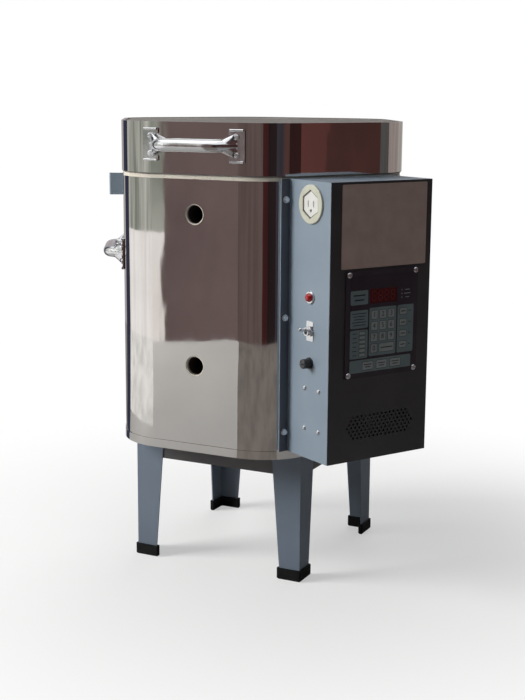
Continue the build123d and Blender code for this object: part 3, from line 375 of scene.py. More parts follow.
def lacquered_core():
    """Stacked laminations under brown lacquer."""
    s = Shades("lacquered_laminations").set(Metallic=0.5)
    bands = s.noise(700.0, 1.0, 0.4, s.stretched((0.05, 0.05, 1.0)))
    s.colour(s.ramp(bands, [(0.35, (0.06, 0.05, 0.045)), (0.65, (0.16, 0.13, 0.11))]))
    s.rough(s.grey(bands, 0.4, 0.6, 0.3, 0.7))
    s.bump(bands, 0.0001, 0.7)
    return s.material


def red_filter():
    """Deep red display window."""
    s = Shades("red_display_filter").set(Coat_Weight=0.6, Coat_Roughness=0.06)
    haze = s.noise(40.0, 3.0, 0.5)
    s.colour(s.ramp(haze, [(0.3, (0.060, 0.004, 0.006)), (0.7, (0.105, 0.006, 0.009))]))
    s.rough(s.grey(haze, 0.12, 0.22, 0.3, 0.7))
    return s.material


def red_lens():
    """Clear red lens, faceted inside."""
    s = Shades("red_pilot_lens").set(Coat_Weight=1.0, Coat_Roughness=0.04)
    facets = s.cells(900.0)
    s.colour(s.ramp(facets, [(0.0, (0.62, 0.012, 0.018)), (0.6, (0.38, 0.006, 0.010))]))
    s.rough(s.grey(s.noise(200.0), 0.1, 0.2, 0.3, 0.7))
    s.bump(facets, 0.0002, 0.5)
    return s.material


def fuse_glass():
    """Clear glass tube with slight smears."""
    s = Shades("fuse_glass").set(Transmission_Weight=0.8, IOR=1.5)
    smear = s.noise(300.0, 3.0, 0.5)
    s.colour(s.ramp(smear, [(0.3, (0.72, 0.78, 0.78)), (0.7, (0.86, 0.90, 0.90))]))
    s.rough(s.grey(smear, 0.03, 0.12, 0.3, 0.7))
    return s.material


def plated_bushing():
    """Phenolic switch body whose bushing, outside the panel, is plated and finely threaded."""
    s = Shades("switch_body_and_bushing").set(Specular_IOR_Level=0.5)
    turn = math.radians(BOX_ANGLE)
    across = Vector((math.cos(turn), math.sin(turn), 0.0))
    out = s.along(-across, (AXIS_X, AXIS_Y, 0.0))
    plated = s.grey(out, 0.0, 1.0, BOX_HALF_WIDTH - 0.8 * MM, BOX_HALF_WIDTH - 0.6 * MM)
    grain = s.noise(300.0, 3.0, 0.5)
    dark = s.ramp(grain, [(0.3, (0.012, 0.012, 0.014)), (0.7, (0.03, 0.03, 0.033))])
    s.colour(s.mix(plated, dark, (0.80, 0.80, 0.82)))
    s.links.new(plated, s.shader.inputs["Metallic"])
    s.rough(s.grey(grain, 0.2, 0.34, 0.3, 0.7))
    s.bump(s.math("SINE", s.math("MULTIPLY", out, THREAD_WAVE), 0.0), 0.00012, 0.5)
    return s.material


MIRROR = mirror_steel()
BRICK = firebrick()
ENAMEL = enamel("blue_grey_enamel")
# The legs take the blue-grey enamel darkened by painted shade.
SHADED_LEG_ENAMEL = enamel("steel_blue_enamel", LEG_SHADE_TONES)
RAIL_ENAMEL = enamel("iron_grey_enamel", IRON_GREY)
ZINC = bright_zinc("bright_zinc", (0.84, 0.86, 0.89), 0.10, 0.24)
SCREW_ZINC = bright_zinc("screw_zinc", (0.80, 0.83, 0.87), 0.20, 0.34)
RUBBER = black_rubber()
WIRE = oxidised_wire()
CERAMIC = white_ceramic()
LABEL = moulded("beige_plate", (0.44, 0.315, 0.280), (0.52, 0.380, 0.340), 0.45, 0.55)
PLATE_BLACK = moulded("satin_black_plate", (0.026, 0.018, 0.028), (0.040, 0.028, 0.042), 0.36, 0.46)
FILM = moulded("keypad_film", (0.022, 0.012, 0.022), (0.036, 0.022, 0.036), 0.34, 0.44, 1400.0)
KEY_PRINT = moulded("key_teal", (0.150, 0.205, 0.215), (0.185, 0.245, 0.255), 0.38, 0.48, 1400.0)
KEY_RIM = moulded("key_rim", (0.030, 0.038, 0.042), (0.045, 0.055, 0.060), 0.4, 0.5, 1400.0)
KEY_FACE = moulded("key_face", (0.27, 0.30, 0.31), (0.34, 0.37, 0.38), 0.4, 0.5, 1400.0)
KEY_INK = moulded("key_ink", (0.008, 0.010, 0.012), (0.016, 0.018, 0.020), 0.45, 0.6)
PALE_INK = moulded("pale_ink", (0.30, 0.33, 0.35), (0.38, 0.42, 0.44), 0.4, 0.55)
IVORY = moulded("ivory_plastic", (0.55, 0.55, 0.45), (0.62, 0.62, 0.52), 0.28, 0.4, coat=0.2)
WHITE = moulded("white_plastic", (0.70, 0.70, 0.67), (0.80, 0.80, 0.78), 0.28, 0.4, coat=0.2)
BLACK = moulded("black_phenolic", (0.012, 0.012, 0.014), (0.024, 0.024, 0.027), 0.26, 0.42, coat=0.25)
SWITCH = plated_bushing()
BOARD = circuit_green()
CORE = lacquered_core()
FILTER = red_filter()
LENS = red_lens()
GLASS = fuse_glass()
GHOST = moulded("unlit_segments", (0.10, 0.008, 0.010), (0.15, 0.012, 0.014), 0.3, 0.4)

FINISH = {
    "mirror_steel": MIRROR,
    "firebrick": BRICK,
    "grey_paint": ENAMEL,
    "charcoal_paint": RAIL_ENAMEL,
    "bright_zinc": ZINC,
    "foot_rubber": RUBBER,
    "resistance_wire": WIRE,
    "white_ceramic": CERAMIC,
    "beige_plate": LABEL,
    "black_plate": PLATE_BLACK,
    "keypad_film": FILM,
    "red_window": FILTER,
    "red_lens": LENS,
    "ivory_plastic": IVORY,
    "white_plastic": WHITE,
    "black_plastic": BLACK,
    "fuse_glass": GLASS,
    "board_green": BOARD,
    "core_iron": CORE,
}
OWN_FINISH = {
    "lid_slab": coated_brick(),
    # This material carries painted shade on the control box's face and side flanges.
    "box_cover": enamel("control_box_enamel_painted_shade", control_box=True),
    "toggle_switch": SWITCH,
    **dict.fromkeys([name for name in frame["nodes"] if name.startswith("leg_")], SHADED_LEG_ENAMEL),
}
SCREW_NODES = ("body_screws", "lid_screws", "cover_screws", "controller_screws", "panel_rivets")


def finish_nodes():
    """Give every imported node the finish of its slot; screws get the duller plating."""
    slots = {entry["node"]: entry["material_slot"] for entry in frame["record"]["subparts"]}
    for name, node in frame["nodes"].items():
        material = SCREW_ZINC if name in SCREW_NODES else OWN_FINISH.get(name, FINISH[slots[name]])
        node.data.materials.clear()
        node.data.materials.append(material)


# Mesh helpers


def piece_from(mesh_or_bm, name, material):
    """Object at the origin, its place in its mesh."""
    if isinstance(mesh_or_bm, bmesh.types.BMesh):
        mesh = bpy.data.meshes.new(name)
        mesh_or_bm.to_mesh(mesh)
        mesh_or_bm.free()
    else:
        mesh = mesh_or_bm
        mesh.name = name
    mesh.materials.clear()
    mesh.materials.append(material)
    piece = bpy.data.objects.new(name, mesh)
    bpy.context.scene.collection.objects.link(piece)
    return piece


def baked(source, name, material):
    """Plain mesh piece from an evaluated object, which is removed."""
    bpy.context.view_layer.update()
    evaluated = source.evaluated_get(bpy.context.evaluated_depsgraph_get())
    mesh = bpy.data.meshes.new_from_object(evaluated)
    mesh.transform(source.matrix_world)
    bpy.data.objects.remove(source)
    return piece_from(mesh, name, material)


def rounded_plate(bm, centre, size, radius, height, steps=5, crown=0.35):
    """Low plate with rounded corners and a soft upper edge, in local x, y, z."""
    w, h = size[0] / 2, size[1] / 2
    rings = []
    for lift, inset in ((0.0, 0.0), (1 - crown, 0.0), (1.0, crown)):
        inset_by = inset * height
        loop = []
        for sx, sy, start in ((1, 1, 0), (-1, 1, 90), (-1, -1, 180), (1, -1, 270)):
            for k in range(steps + 1):
                a = math.radians(start + 90 * k / steps)
                x = centre[0] + sx * (w - radius) + (radius - inset_by) * math.cos(a)
                y = centre[1] + sy * (h - radius) + (radius - inset_by) * math.sin(a)
                loop.append(bm.verts.new((x, y, centre[2] + lift * height)))
        rings.append(loop)
    for lower, upper in zip(rings, rings[1:]):
        for i in range(len(lower)):
            j = (i + 1) % len(lower)
            bm.faces.new((lower[i], lower[j], upper[j], upper[i]))
    bm.faces.new(rings[-1])
    bm.faces.new(list(reversed(rings[0])))


# Heating coils, which lie in the bricks' grooves. Places along the control box facet are from its middle.
# A rounded corner takes at most CORNER_SHARE of its shorter run.
COIL = 9 * MM
WIRE_RADIUS = 0.9 * MM
WIRE_SIDES = 5
TURN_PITCH = 4.6 * MM
POINTS_PER_TURN = 9
GROOVE_AXIS = 6.5 * MM
COIL_RUN = HALF_FLATS - JACKET_SHEET - BRICK_THICKNESS + GROOVE_AXIS
COIL_CORNER = 16 * MM
CORNER_SHARE = 0.45
COIL_START, COIL_END = -16 * MM, 62 * MM
RAMP_FOOT, RAMP_HEAD = 50 * MM, 6 * MM
TAIL_LOW, TAIL_HIGH = -20 * MM, 66 * MM
TAIL_RADIUS = 1.9 * MM
TAIL_SIDES = 12
TAIL_OUTSIDE = 23 * MM


def chamber_path(low, high):
    """Two turns round the chamber joined by a ramp on the box facet."""
    base = facet_matrix(BOX_ANGLE, COIL_RUN - HALF_FLATS)

    def corner(k, z):
        turn = math.radians(BOX_ANGLE - 60 * (k + 0.5))
        reach = COIL_RUN / math.cos(math.radians(30))
        return Vector((AXIS_X + reach * math.sin(turn), AXIS_Y - reach * math.cos(turn), z))

    points = [base @ Vector((COIL_START, low, 0))]
    points += [corner(k, low) for k in range(6)]
    points += [base @ Vector((RAMP_FOOT, low, 0)), base @ Vector((RAMP_HEAD, high, 0))]
    points += [corner(k, high) for k in range(6)]
    points += [base @ Vector((COIL_END, high, 0))]
    return points


def rounded_path(points, radius, step=6):
    """The path with its corners rounded, as a list of points."""
    line = [points[0]]
    for before, at, after in zip(points, points[1:], points[2:]):
        a = (before - at).normalized()
        b = (after - at).normalized()
        half = a.angle(b) / 2
        cut = min(radius / math.tan(half), CORNER_SHARE * min((before - at).length, (after - at).length))
        start, end = at + a * cut, at + b * cut
        for k in range(step + 1):
            t = k / step
            line.append(start * (1 - t) ** 2 + at * 2 * t * (1 - t) + end * t ** 2)
    line.append(points[-1])
    return line


def coil_tree():
    """Winds a wire round a curve: turns, coil radius, wire radius and the wire's material are inputs."""
    tree = bpy.data.node_groups.new("wound_wire", "GeometryNodeTree")
    for label, kind in (
        ("Geometry", "NodeSocketGeometry"),
        ("Turns", "NodeSocketInt"),
        ("Coil Radius", "NodeSocketFloat"),
        ("Wire Radius", "NodeSocketFloat"),
        ("Wire", "NodeSocketMaterial"),
    ):
        tree.interface.new_socket(label, in_out="INPUT", socket_type=kind)
    tree.interface.new_socket("Geometry", in_out="OUTPUT", socket_type="NodeSocketGeometry")
    nodes, links = tree.nodes, tree.links
    given = nodes.new("NodeGroupInput")
    out = nodes.new("NodeGroupOutput")

    def maths(operation, a, b):
        node = nodes.new("ShaderNodeMath")
        node.operation = operation
        for socket, value in ((node.inputs[0], a), (node.inputs[1], b)):
            if isinstance(value, (int, float)):
                socket.default_value = value
            else:
                links.new(value, socket)
        return node.outputs[0]

    def scaled(vector, amount):
        node = nodes.new("ShaderNodeVectorMath")
        node.operation = "SCALE"
        links.new(vector, node.inputs[0])
        links.new(amount, node.inputs["Scale"])
        return node.outputs[0]

    resample = nodes.new("GeometryNodeResampleCurve")
    links.new(given.outputs["Geometry"], resample.inputs["Curve"])
    links.new(maths("MULTIPLY", given.outputs["Turns"], POINTS_PER_TURN), resample.inputs["Count"])
    parameter = nodes.new("GeometryNodeSplineParameter")
    tangent = nodes.new("GeometryNodeInputTangent")
    upright = nodes.new("ShaderNodeCombineXYZ")
    upright.inputs["Z"].default_value = 1.0
    side = nodes.new("ShaderNodeVectorMath")
    side.operation = "CROSS_PRODUCT"
    links.new(tangent.outputs[0], side.inputs[0])
    links.new(upright.outputs[0], side.inputs[1])
    side_unit = nodes.new("ShaderNodeVectorMath")
    side_unit.operation = "NORMALIZE"
    links.new(side.outputs[0], side_unit.inputs[0])
    turned = maths("MULTIPLY", parameter.outputs["Factor"], given.outputs["Turns"])
    angle = maths("MULTIPLY", turned, 2 * math.pi)
    out_by = maths("MULTIPLY", maths("COSINE", angle, 0), given.outputs["Coil Radius"])
    up_by = maths("MULTIPLY", maths("SINE", angle, 0), given.outputs["Coil Radius"])
    sideways = scaled(side_unit.outputs[0], out_by)
    upward = scaled(upright.outputs[0], up_by)
    offset = nodes.new("ShaderNodeVectorMath")
    links.new(sideways, offset.inputs[0])
    links.new(upward, offset.inputs[1])
    move = nodes.new("GeometryNodeSetPosition")
    links.new(resample.outputs[0], move.inputs["Geometry"])
    links.new(offset.outputs[0], move.inputs["Offset"])
    profile = nodes.new("GeometryNodeCurvePrimitiveCircle")
    profile.inputs["Resolution"].default_value = WIRE_SIDES
    links.new(given.outputs["Wire Radius"], profile.inputs["Radius"])
    tube = nodes.new("GeometryNodeCurveToMesh")
    tube.inputs["Fill Caps"].default_value = True
    links.new(move.outputs[0], tube.inputs["Curve"])
    links.new(profile.outputs[0], tube.inputs["Profile Curve"])
    smooth = nodes.new("GeometryNodeSetShadeSmooth")
    links.new(tube.outputs[0], smooth.inputs[0])
    realize = nodes.new("GeometryNodeRealizeInstances")
    links.new(smooth.outputs[0], realize.inputs[0])
    paint = nodes.new("GeometryNodeSetMaterial")
    links.new(realize.outputs[0], paint.inputs["Geometry"])
    links.new(given.outputs["Wire"], paint.inputs["Material"])
    links.new(paint.outputs[0], out.inputs[0])
    return tree


def set_input(modifier, label, value):
    """Set a modifier's input by its socket's identifier."""
    for item in modifier.node_group.interface.items_tree:
        if item.item_type == "SOCKET" and item.in_out == "INPUT" and item.name == label:
            modifier[item.identifier] = value


def heating_coils():
    """Wound wire in the grooves, with straight tails out through the bushings."""
    tree = coil_tree()
    for course in (1, 2, 3):
        node = f"element_{course}"
        low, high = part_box(node)
        z_low, z_high = low[2] + COIL / 2, high[2] - COIL / 2
        line = rounded_path(chamber_path(z_low, z_high), COIL_CORNER)
        curve = bpy.data.curves.new(f"coil_{course}_path", "CURVE")
        curve.dimensions = "3D"
        spline = curve.splines.new("POLY")
        spline.points.add(len(line) - 1)
        for point, at in zip(spline.points, line):
            point.co = (*at, 1.0)
        source = bpy.data.objects.new(f"coil_{course}_path", curve)
        bpy.context.scene.collection.objects.link(source)
        length = sum((b - a).length for a, b in zip(line, line[1:]))
        modifier = source.modifiers.new("winding", "NODES")
        modifier.node_group = tree
        set_input(modifier, "Turns", int(length / TURN_PITCH))
        set_input(modifier, "Coil Radius", COIL / 2 - WIRE_RADIUS)
        set_input(modifier, "Wire Radius", WIRE_RADIUS)
        set_input(modifier, "Wire", WIRE)
        winding = baked(source, f"element_wire_{course}", WIRE)
        bm = bmesh.new()
        bm.from_mesh(winding.data)
        tail_frame = facet_matrix(BOX_ANGLE, COIL_RUN - HALF_FLATS)
        reach = HALF_FLATS - COIL_RUN + TAIL_OUTSIDE
        for u, z in ((TAIL_LOW, z_low), (TAIL_HIGH, z_high)):
            place = tail_frame @ Matrix.Translation((u, z, reach / 2))
            bmesh.ops.create_cone(
                bm, cap_ends=True, segments=TAIL_SIDES, radius1=TAIL_RADIUS, radius2=TAIL_RADIUS,
                depth=reach, matrix=place,
            )
        bm.to_mesh(winding.data)
        bm.free()
        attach(winding, "kiln_body")
        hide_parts(node)


# Controller face

PLATE_WIDTH = 132 * MM
PLATE_SHEET = 2.0 * MM
FILM_SHEET = 0.5 * MM


def controller_place():
    """Frame whose origin is the top left corner of the controller plate, x right, y up, z out of the film."""
    low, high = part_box("controller_plate")
    middle = facet_matrix(BOX_ANGLE).inverted() @ ((low + high) / 2)
    corner = (middle.x - PLATE_WIDTH / 2, high[2], BOX_DEPTH + PLATE_SHEET + FILM_SHEET)
    return facet_matrix(BOX_ANGLE) @ Matrix.Translation(corner)


# Printed fields in millimetres from the plate's top left corner: x, y, width, height.
FIELDS = {
    "start": (8.0, 28.5, 31.5, 20.5),
    "program": (8.0, 57.0, 32.0, 26.0),
    "settings": (8.0, 85.5, 32.0, 41.5),
    "digits": (42.5, 55.0, 49.5, 70.5),
    "choices": (94.5, 55.0, 30.0, 70.5),
    "segments": (8.0, 129.5, 113.0, 18.5),
}
FIELD_LIFT = 0.25 * MM
RIM_LIFT = 0.35 * MM
KEY_LIFT = 0.45 * MM
INK = 0.06 * MM
FIELD_CORNER, RIM_CORNER, KEY_CORNER = 2.2, 1.3, 0.9
RIM_BORDER = 1.4

# Sizes of the keys and, from their field's corner or middle, the places of the first ones.
DIGIT_KEY, DIGIT_PITCH = (11.6, 12.4), (15.6, 16.4)
DIGIT_ROW, DIGIT_HEIGHT = 10.4, 10.0
CHOICE_KEY, CHOICE_COLUMN, CHOICE_ROW = (13.0, 9.0), 10.5, 9.4
SETTING_KEY, SETTING_COLUMN, SETTING_ROW, SETTING_PITCH = (10.5, 4.2), 22.0, 5.0, 6.3
SEGMENT_KEY, SEGMENT_COLUMN, SEGMENT_PITCH = (19.0, 11.5), 33.0, 25.5


def key_layout():
    """Keys in millimetres from the plate's top left corner: centre x, centre y, width, height, legend."""
    x, y, w, h = FIELDS["digits"]
    first_x, first_y = x + w / 2 - DIGIT_PITCH[0], y + DIGIT_ROW
    keys = []
    for k, digit in enumerate("123456789"):
        keys.append((first_x + k % 3 * DIGIT_PITCH[0], first_y + k // 3 * DIGIT_PITCH[1], *DIGIT_KEY, digit))
    last_y = first_y + 3 * DIGIT_PITCH[1]
    keys.append((first_x, last_y, *DIGIT_KEY, "0"))
    wide = DIGIT_PITCH[0] + DIGIT_KEY[0]
    keys.append((first_x + 1.5 * DIGIT_PITCH[0], last_y, wide, DIGIT_KEY[1], "wide bar"))
    x, y, w, h = FIELDS["choices"]
    for k in range(4):
        keys.append((x + CHOICE_COLUMN, y + CHOICE_ROW + k * DIGIT_PITCH[1], *CHOICE_KEY, "bar"))
    x, y, w, h = FIELDS["settings"]
    for k in range(6):
        keys.append((x + SETTING_COLUMN, y + SETTING_ROW + k * SETTING_PITCH, *SETTING_KEY, "blank"))
    x, y, w, h = FIELDS["segments"]
    for k in range(3):
        keys.append((x + SEGMENT_COLUMN + k * SEGMENT_PITCH, y + h / 2, *SEGMENT_KEY, "two bars"))
    return keys


def film_piece(bm, name, material):
    """Piece of the controller's film, made in the plate's own frame."""
    bmesh.ops.transform(bm, matrix=controller_place(), verts=bm.verts)
    piece = piece_from(bm, name, material)
    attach(piece, "kiln_body")


def low_pad(bm, x, y, w, h, corner, base, top):
    """Low pad on the film: centre and size in millimetres, heights in metres."""
    rounded_plate(bm, (x * MM, -y * MM, base), (w * MM, h * MM), corner * MM, top - base, steps=4, crown=0.3)


def key_pads():
    """Printed fields of the film, and on them the keys' dark rims and pale faces."""
    fields, rims, faces = bmesh.new(), bmesh.new(), bmesh.new()
    for x, y, w, h in FIELDS.values():
        low_pad(fields, x + w / 2, y + h / 2, w, h, FIELD_CORNER, 0.0, FIELD_LIFT)
    for x, y, w, h, _ in key_layout():
        low_pad(rims, x, y, w + RIM_BORDER, h + RIM_BORDER, RIM_CORNER, 0.0, RIM_LIFT)
        low_pad(faces, x, y, w, h, KEY_CORNER, 0.0, KEY_LIFT)
    film_piece(fields, "keypad_fields", KEY_PRINT)
    film_piece(rims, "key_rims", KEY_RIM)
    film_piece(faces, "key_faces", KEY_FACE)


# Strokes, in millimetres. A stroke is shorter than its key or field by its trim.
STROKE_ROUNDING = 0.24
BAR_TRIM, BAR_THICK = 5.0, 1.4
PAIR_TRIMS, PAIR_THICK, PAIR_GAP = (5.0, 9.0), 1.2, 1.8
START_TRIMS, START_THICK, START_GAP = (10.0, 14.0), 2.0, 3.4
LIST_TRIM, LIST_STEP, LIST_THICK = 6.0, 3.0, 1.1
LIST_ROW, LIST_PITCH = 4.6, 4.2
SETTING_TICK, SETTING_TICK_STEP, SETTING_TICK_COLUMN = (8.0, 1.0), 1.5, 8.5
CHOICE_TICK, CHOICE_TICK_COLUMN = (4.5, 1.0), 23.0


def key_strokes():
    """Plain strokes where a keypad has words, and small ticks beside its keys."""
    bm = bmesh.new()

    def stroke(x, y, w, h, base):
        low_pad(bm, x, y, w, h, STROKE_ROUNDING * min(w, h), base, base + INK)

    def pair(x, y, width, trims, thick, gap, base):
        stroke(x, y - gap, width - trims[0], thick, base)
        stroke(x, y + gap, width - trims[1], thick, base)

    for x, y, w, h, legend in key_layout():
        if legend.endswith("bar"):
            stroke(x, y, w - BAR_TRIM, BAR_THICK, KEY_LIFT)
        elif legend == "two bars":
            pair(x, y, w, PAIR_TRIMS, PAIR_THICK, PAIR_GAP, KEY_LIFT)
    x, y, w, h = FIELDS["start"]
    pair(x + w / 2, y + h / 2, w, START_TRIMS, START_THICK, START_GAP, FIELD_LIFT)
    x, y, w, h = FIELDS["program"]
    for k in range(5):
        length = w - LIST_TRIM - LIST_STEP * (k % 3)
        stroke(x + w / 2, y + LIST_ROW + LIST_PITCH * k, length, LIST_THICK, FIELD_LIFT)
    x, y, w, h = FIELDS["settings"]
    tick, thick = SETTING_TICK
    for k in range(6):
        row = y + SETTING_ROW + k * SETTING_PITCH
        stroke(x + SETTING_TICK_COLUMN, row, tick - SETTING_TICK_STEP * (k % 2), thick, FIELD_LIFT)
    x, y, w, h = FIELDS["choices"]
    for k in range(4):
        stroke(x + CHOICE_TICK_COLUMN, y + CHOICE_ROW + k * DIGIT_PITCH[1], *CHOICE_TICK, FIELD_LIFT)
    film_piece(bm, "key_strokes", KEY_INK)


def key_digits():
    """Plain digits on the number keys."""
    joined = bmesh.new()
    for x, y, _, _, legend in key_layout():
        if not legend.isdigit():
            continue
        text = bpy.data.curves.new("digit", "FONT")
        text.body = legend
        text.size = DIGIT_HEIGHT * MM
        text.align_x = "CENTER"
        text.align_y = "CENTER"
        text.extrude = INK / 2
        glyph = bpy.data.objects.new("digit", text)
        bpy.context.scene.collection.objects.link(glyph)
        bpy.context.view_layer.update()
        mesh = bpy.data.meshes.new_from_object(glyph.evaluated_get(bpy.context.evaluated_depsgraph_get()))
        mesh.transform(Matrix.Translation((x * MM, -y * MM, KEY_LIFT + INK / 2)))
        joined.from_mesh(mesh)
        bpy.data.meshes.remove(mesh)
        bpy.data.objects.remove(glyph)
    film_piece(joined, "key_digits", KEY_INK)


# Marks beside the display, in millimetres from the plate's top left corner.
MARK_WIDTHS = (9.0, 12.0, 7.0)
MARK_HEIGHT = 0.9
MARK_CORNER, DOT_CORNER = 0.2, 0.4
MARK_COLUMN, DOT_COLUMN = 112.0, 102.0
MARK_ROW, MARK_PITCH = 33.0, 5.5
DOT_SIZE = 1.6
MARK_LIFT = 0.08 * MM


def plate_marks():
    """Plain pale strokes beside the display and small indicator dots, with no lettering."""
    bm = bmesh.new()
    for k, width in enumerate(MARK_WIDTHS):
        row = MARK_ROW + MARK_PITCH * k
        low_pad(bm, MARK_COLUMN, row, width, MARK_HEIGHT, MARK_CORNER, 0.0, MARK_LIFT)
        low_pad(bm, DOT_COLUMN, row, DOT_SIZE, DOT_SIZE, DOT_CORNER, 0.0, MARK_LIFT)
    film_piece(bm, "film_marks", PALE_INK)


# Display figures, in millimetres: the middle of the first one's top bar, then sizes.
FIGURE_START = (51.0, 31.5)
FIGURE_PITCH = 11.5
FIGURE_WIDTH, FIGURE_HEIGHT = 6.6, 13.6
BAR_WIDTH, BAR_GAP = 1.2, 1.0
BAR_SHARE = 0.82
BAR_CORNER = 0.4


def display_segments():
    """Unlit seven-segment figures, faint behind the red window."""
    place = controller_place() @ Matrix.Translation((0, 0, -FILM_SHEET))
    w, h, t = FIGURE_WIDTH, FIGURE_HEIGHT, BAR_WIDTH
    bm = bmesh.new()
    for digit in range(4):
        x0, y0 = FIGURE_START
        x0 += digit * FIGURE_PITCH
        bars = [(x0, y0, w, t), (x0, y0 + h / 2, w, t), (x0, y0 + h, w, t)]
        for y in (y0 + h / 4, y0 + 3 * h / 4):
            bars += [(x0 - w / 2, y, t, h / 2 - BAR_GAP), (x0 + w / 2, y, t, h / 2 - BAR_GAP)]
        for x, y, across, tall in bars:
            size = (across * BAR_SHARE * MM, tall * BAR_SHARE * MM)
            rounded_plate(bm, (x * MM, -y * MM, 0), size, BAR_CORNER * MM, INK, steps=2, crown=0.2)
    bmesh.ops.transform(bm, matrix=place, verts=bm.verts)
    segments = piece_from(bm, "display_segments", GHOST)
    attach(segments, "kiln_body")


# Scene


def area_lamp(name, location, size, watts, colour):
    """Soft rectangular lamp that points at the kiln."""
    lamp = bpy.data.lights.new(name, "AREA")
    lamp.shape = "RECTANGLE"
    lamp.size, lamp.size_y = size
    lamp.energy = watts
    lamp.color = colour
    holder = bpy.data.objects.new(name, lamp)
    holder.location = location
    direction = Vector((AXIS_X, AXIS_Y, LAMP_AIM)) - Vector(location)
    holder.rotation_euler = direction.to_track_quat("-Z", "Y").to_euler()
    bpy.context.scene.collection.objects.link(holder)


def glow_material(name, colour, other):
    """Glow between two colours in tall soft patches, as a room's walls and cloths look in polished steel."""
    material = bpy.data.materials.new(name)
    material.use_nodes = True
    nodes, links = material.node_tree.nodes, material.node_tree.links
    nodes.clear()
    out = nodes.new("ShaderNodeOutputMaterial")
    glow = nodes.new("ShaderNodeEmission")
    coords = nodes.new("ShaderNodeTexCoord")
    tall = nodes.new("ShaderNodeMapping")
    tall.inputs["Scale"].default_value = (1.0, 1.0, 0.45)
    patches = nodes.new("ShaderNodeTexNoise")
    patches.inputs["Scale"].default_value = 3.2
    patches.inputs["Detail"].default_value = 4.0
    patches.inputs["Roughness"].default_value = 0.6
    tones = nodes.new("ShaderNodeValToRGB")
    tones.color_ramp.elements[0].position = 0.40
    tones.color_ramp.elements[0].color = (*colour, 1.0)
    tones.color_ramp.elements[1].position = 0.66
    tones.color_ramp.elements[1].color = (*other, 1.0)
    links.new(coords.outputs["Object"], tall.inputs["Vector"])
    links.new(tall.outputs["Vector"], patches.inputs["Vector"])
    links.new(patches.outputs["Fac"], tones.inputs["Fac"])
    links.new(tones.outputs["Color"], glow.inputs["Color"])
    links.new(glow.outputs[0], out.inputs["Surface"])
    return material


# Studio cards round the kiln, seen only in its polished sheet: angles, colour, bottom and top heights.
CARDS = (
    ("left_edge", -182, -112, (0.46, 0.42, 0.43), 0.0, 2.4),
    ("left_line", -112, -92, (0.042, 0.046, 0.076), 0.0, 2.4),
    ("left_low", -92, -29, (1.0, 0.97, 0.95), 0.0, 0.33),
    ("left_high", -92, -29, (0.245, 0.262, 0.222), 0.33, 2.6),
    ("front_brown", -29, -20, (0.160, 0.115, 0.110), 0.0, 2.4),
    ("corner_brown", -20, 22, (0.130, 0.093, 0.087), 0.0, 2.4),
    ("right_red", 22, 31, (0.060, 0.018, 0.018), 0.0, 2.2),
    ("right_black", 31, 45, (0.022, 0.014, 0.015), 0.0, 2.2),
    ("right_slate", 45, 57, (0.045, 0.040, 0.050), 0.0, 2.2),
    ("right_brown", 57, 68, (0.085, 0.043, 0.040), 0.0, 2.2),
    ("right_shade", 68, 89, (0.035, 0.015, 0.014), 0.0, 2.2),
    ("right_wine", 89, 93, (0.115, 0.042, 0.037), 0.0, 2.2),
    ("right_maroon", 93, 101, (0.052, 0.025, 0.022), 0.0, 2.2),
    ("right_grey", 101, 118, (0.100, 0.096, 0.093), 0.0, 2.2),
    ("right_beige", 118, 152, (0.34, 0.285, 0.265), 0.0, 2.2),
    ("right_rear", 152, 178, (0.42, 0.39, 0.36), 0.0, 2.4),
)
CARD_RADIUS = 2.25
CARD_STEP = 4.0

# A card's patches are its colour darkened, or else their own tone.
PATCH_SHADE = 0.74
PATCHES = {
    "left_high": (0.62, 0.61, 0.56),
    "left_low": (0.86, 0.80, 0.76),
    "right_maroon": (0.085, 0.034, 0.030),
    "right_wine": (0.080, 0.034, 0.030),
}

# Mats on the floor, seen only in the polished sheet: angles, colour, inner and outer radius.
MATS = (
    ("floor_edge", -182, -112, (0.30, 0.28, 0.27), 0.9, 2.25),
    ("floor_line", -112, -92, (0.042, 0.046, 0.076), 0.75, 2.25),
    ("floor_white", -92, -33, (0.92, 0.90, 0.87), 1.15, 2.25),
    ("floor_brown", -17, 48, (0.205, 0.180, 0.164), 0.42, 2.25),
)
MAT_HEIGHT = 0.004


def sector(name, first, last, colour, inner, outer):
    """Glowing sheet between two angles, from a lower or inner edge to an upper or outer one."""
    bm = bmesh.new()
    count = max(2, int((last - first) / CARD_STEP))
    columns = []
    for k in range(count + 1):
        turn = math.radians(first + (last - first) * k / count)
        ends = []
        for radius, height in (inner, outer):
            x = AXIS_X + radius * math.sin(turn)
            y = AXIS_Y - radius * math.cos(turn)
            ends.append(bm.verts.new((x, y, height)))
        columns.append(ends)
    for (a, b), (c, d) in zip(columns, columns[1:]):
        bm.faces.new((a, c, d, b))
    other = PATCHES.get(name, tuple(PATCH_SHADE * c for c in colour))
    card = piece_from(bm, f"card_{name}", glow_material(f"card_{name}", colour, other))
    card.visible_camera = False
    card.visible_diffuse = False
    card.visible_shadow = False
    card.visible_transmission = False


def studio_cards():
    """Cards and mats that the polished sheet reflects."""
    for name, first, last, colour, low, high in CARDS:
        sector(name, first, last, colour, (CARD_RADIUS, low), (CARD_RADIUS, high))
    for name, first, last, colour, near, far in MATS:
        sector(name, first, last, colour, (near, MAT_HEIGHT), (far, MAT_HEIGHT))


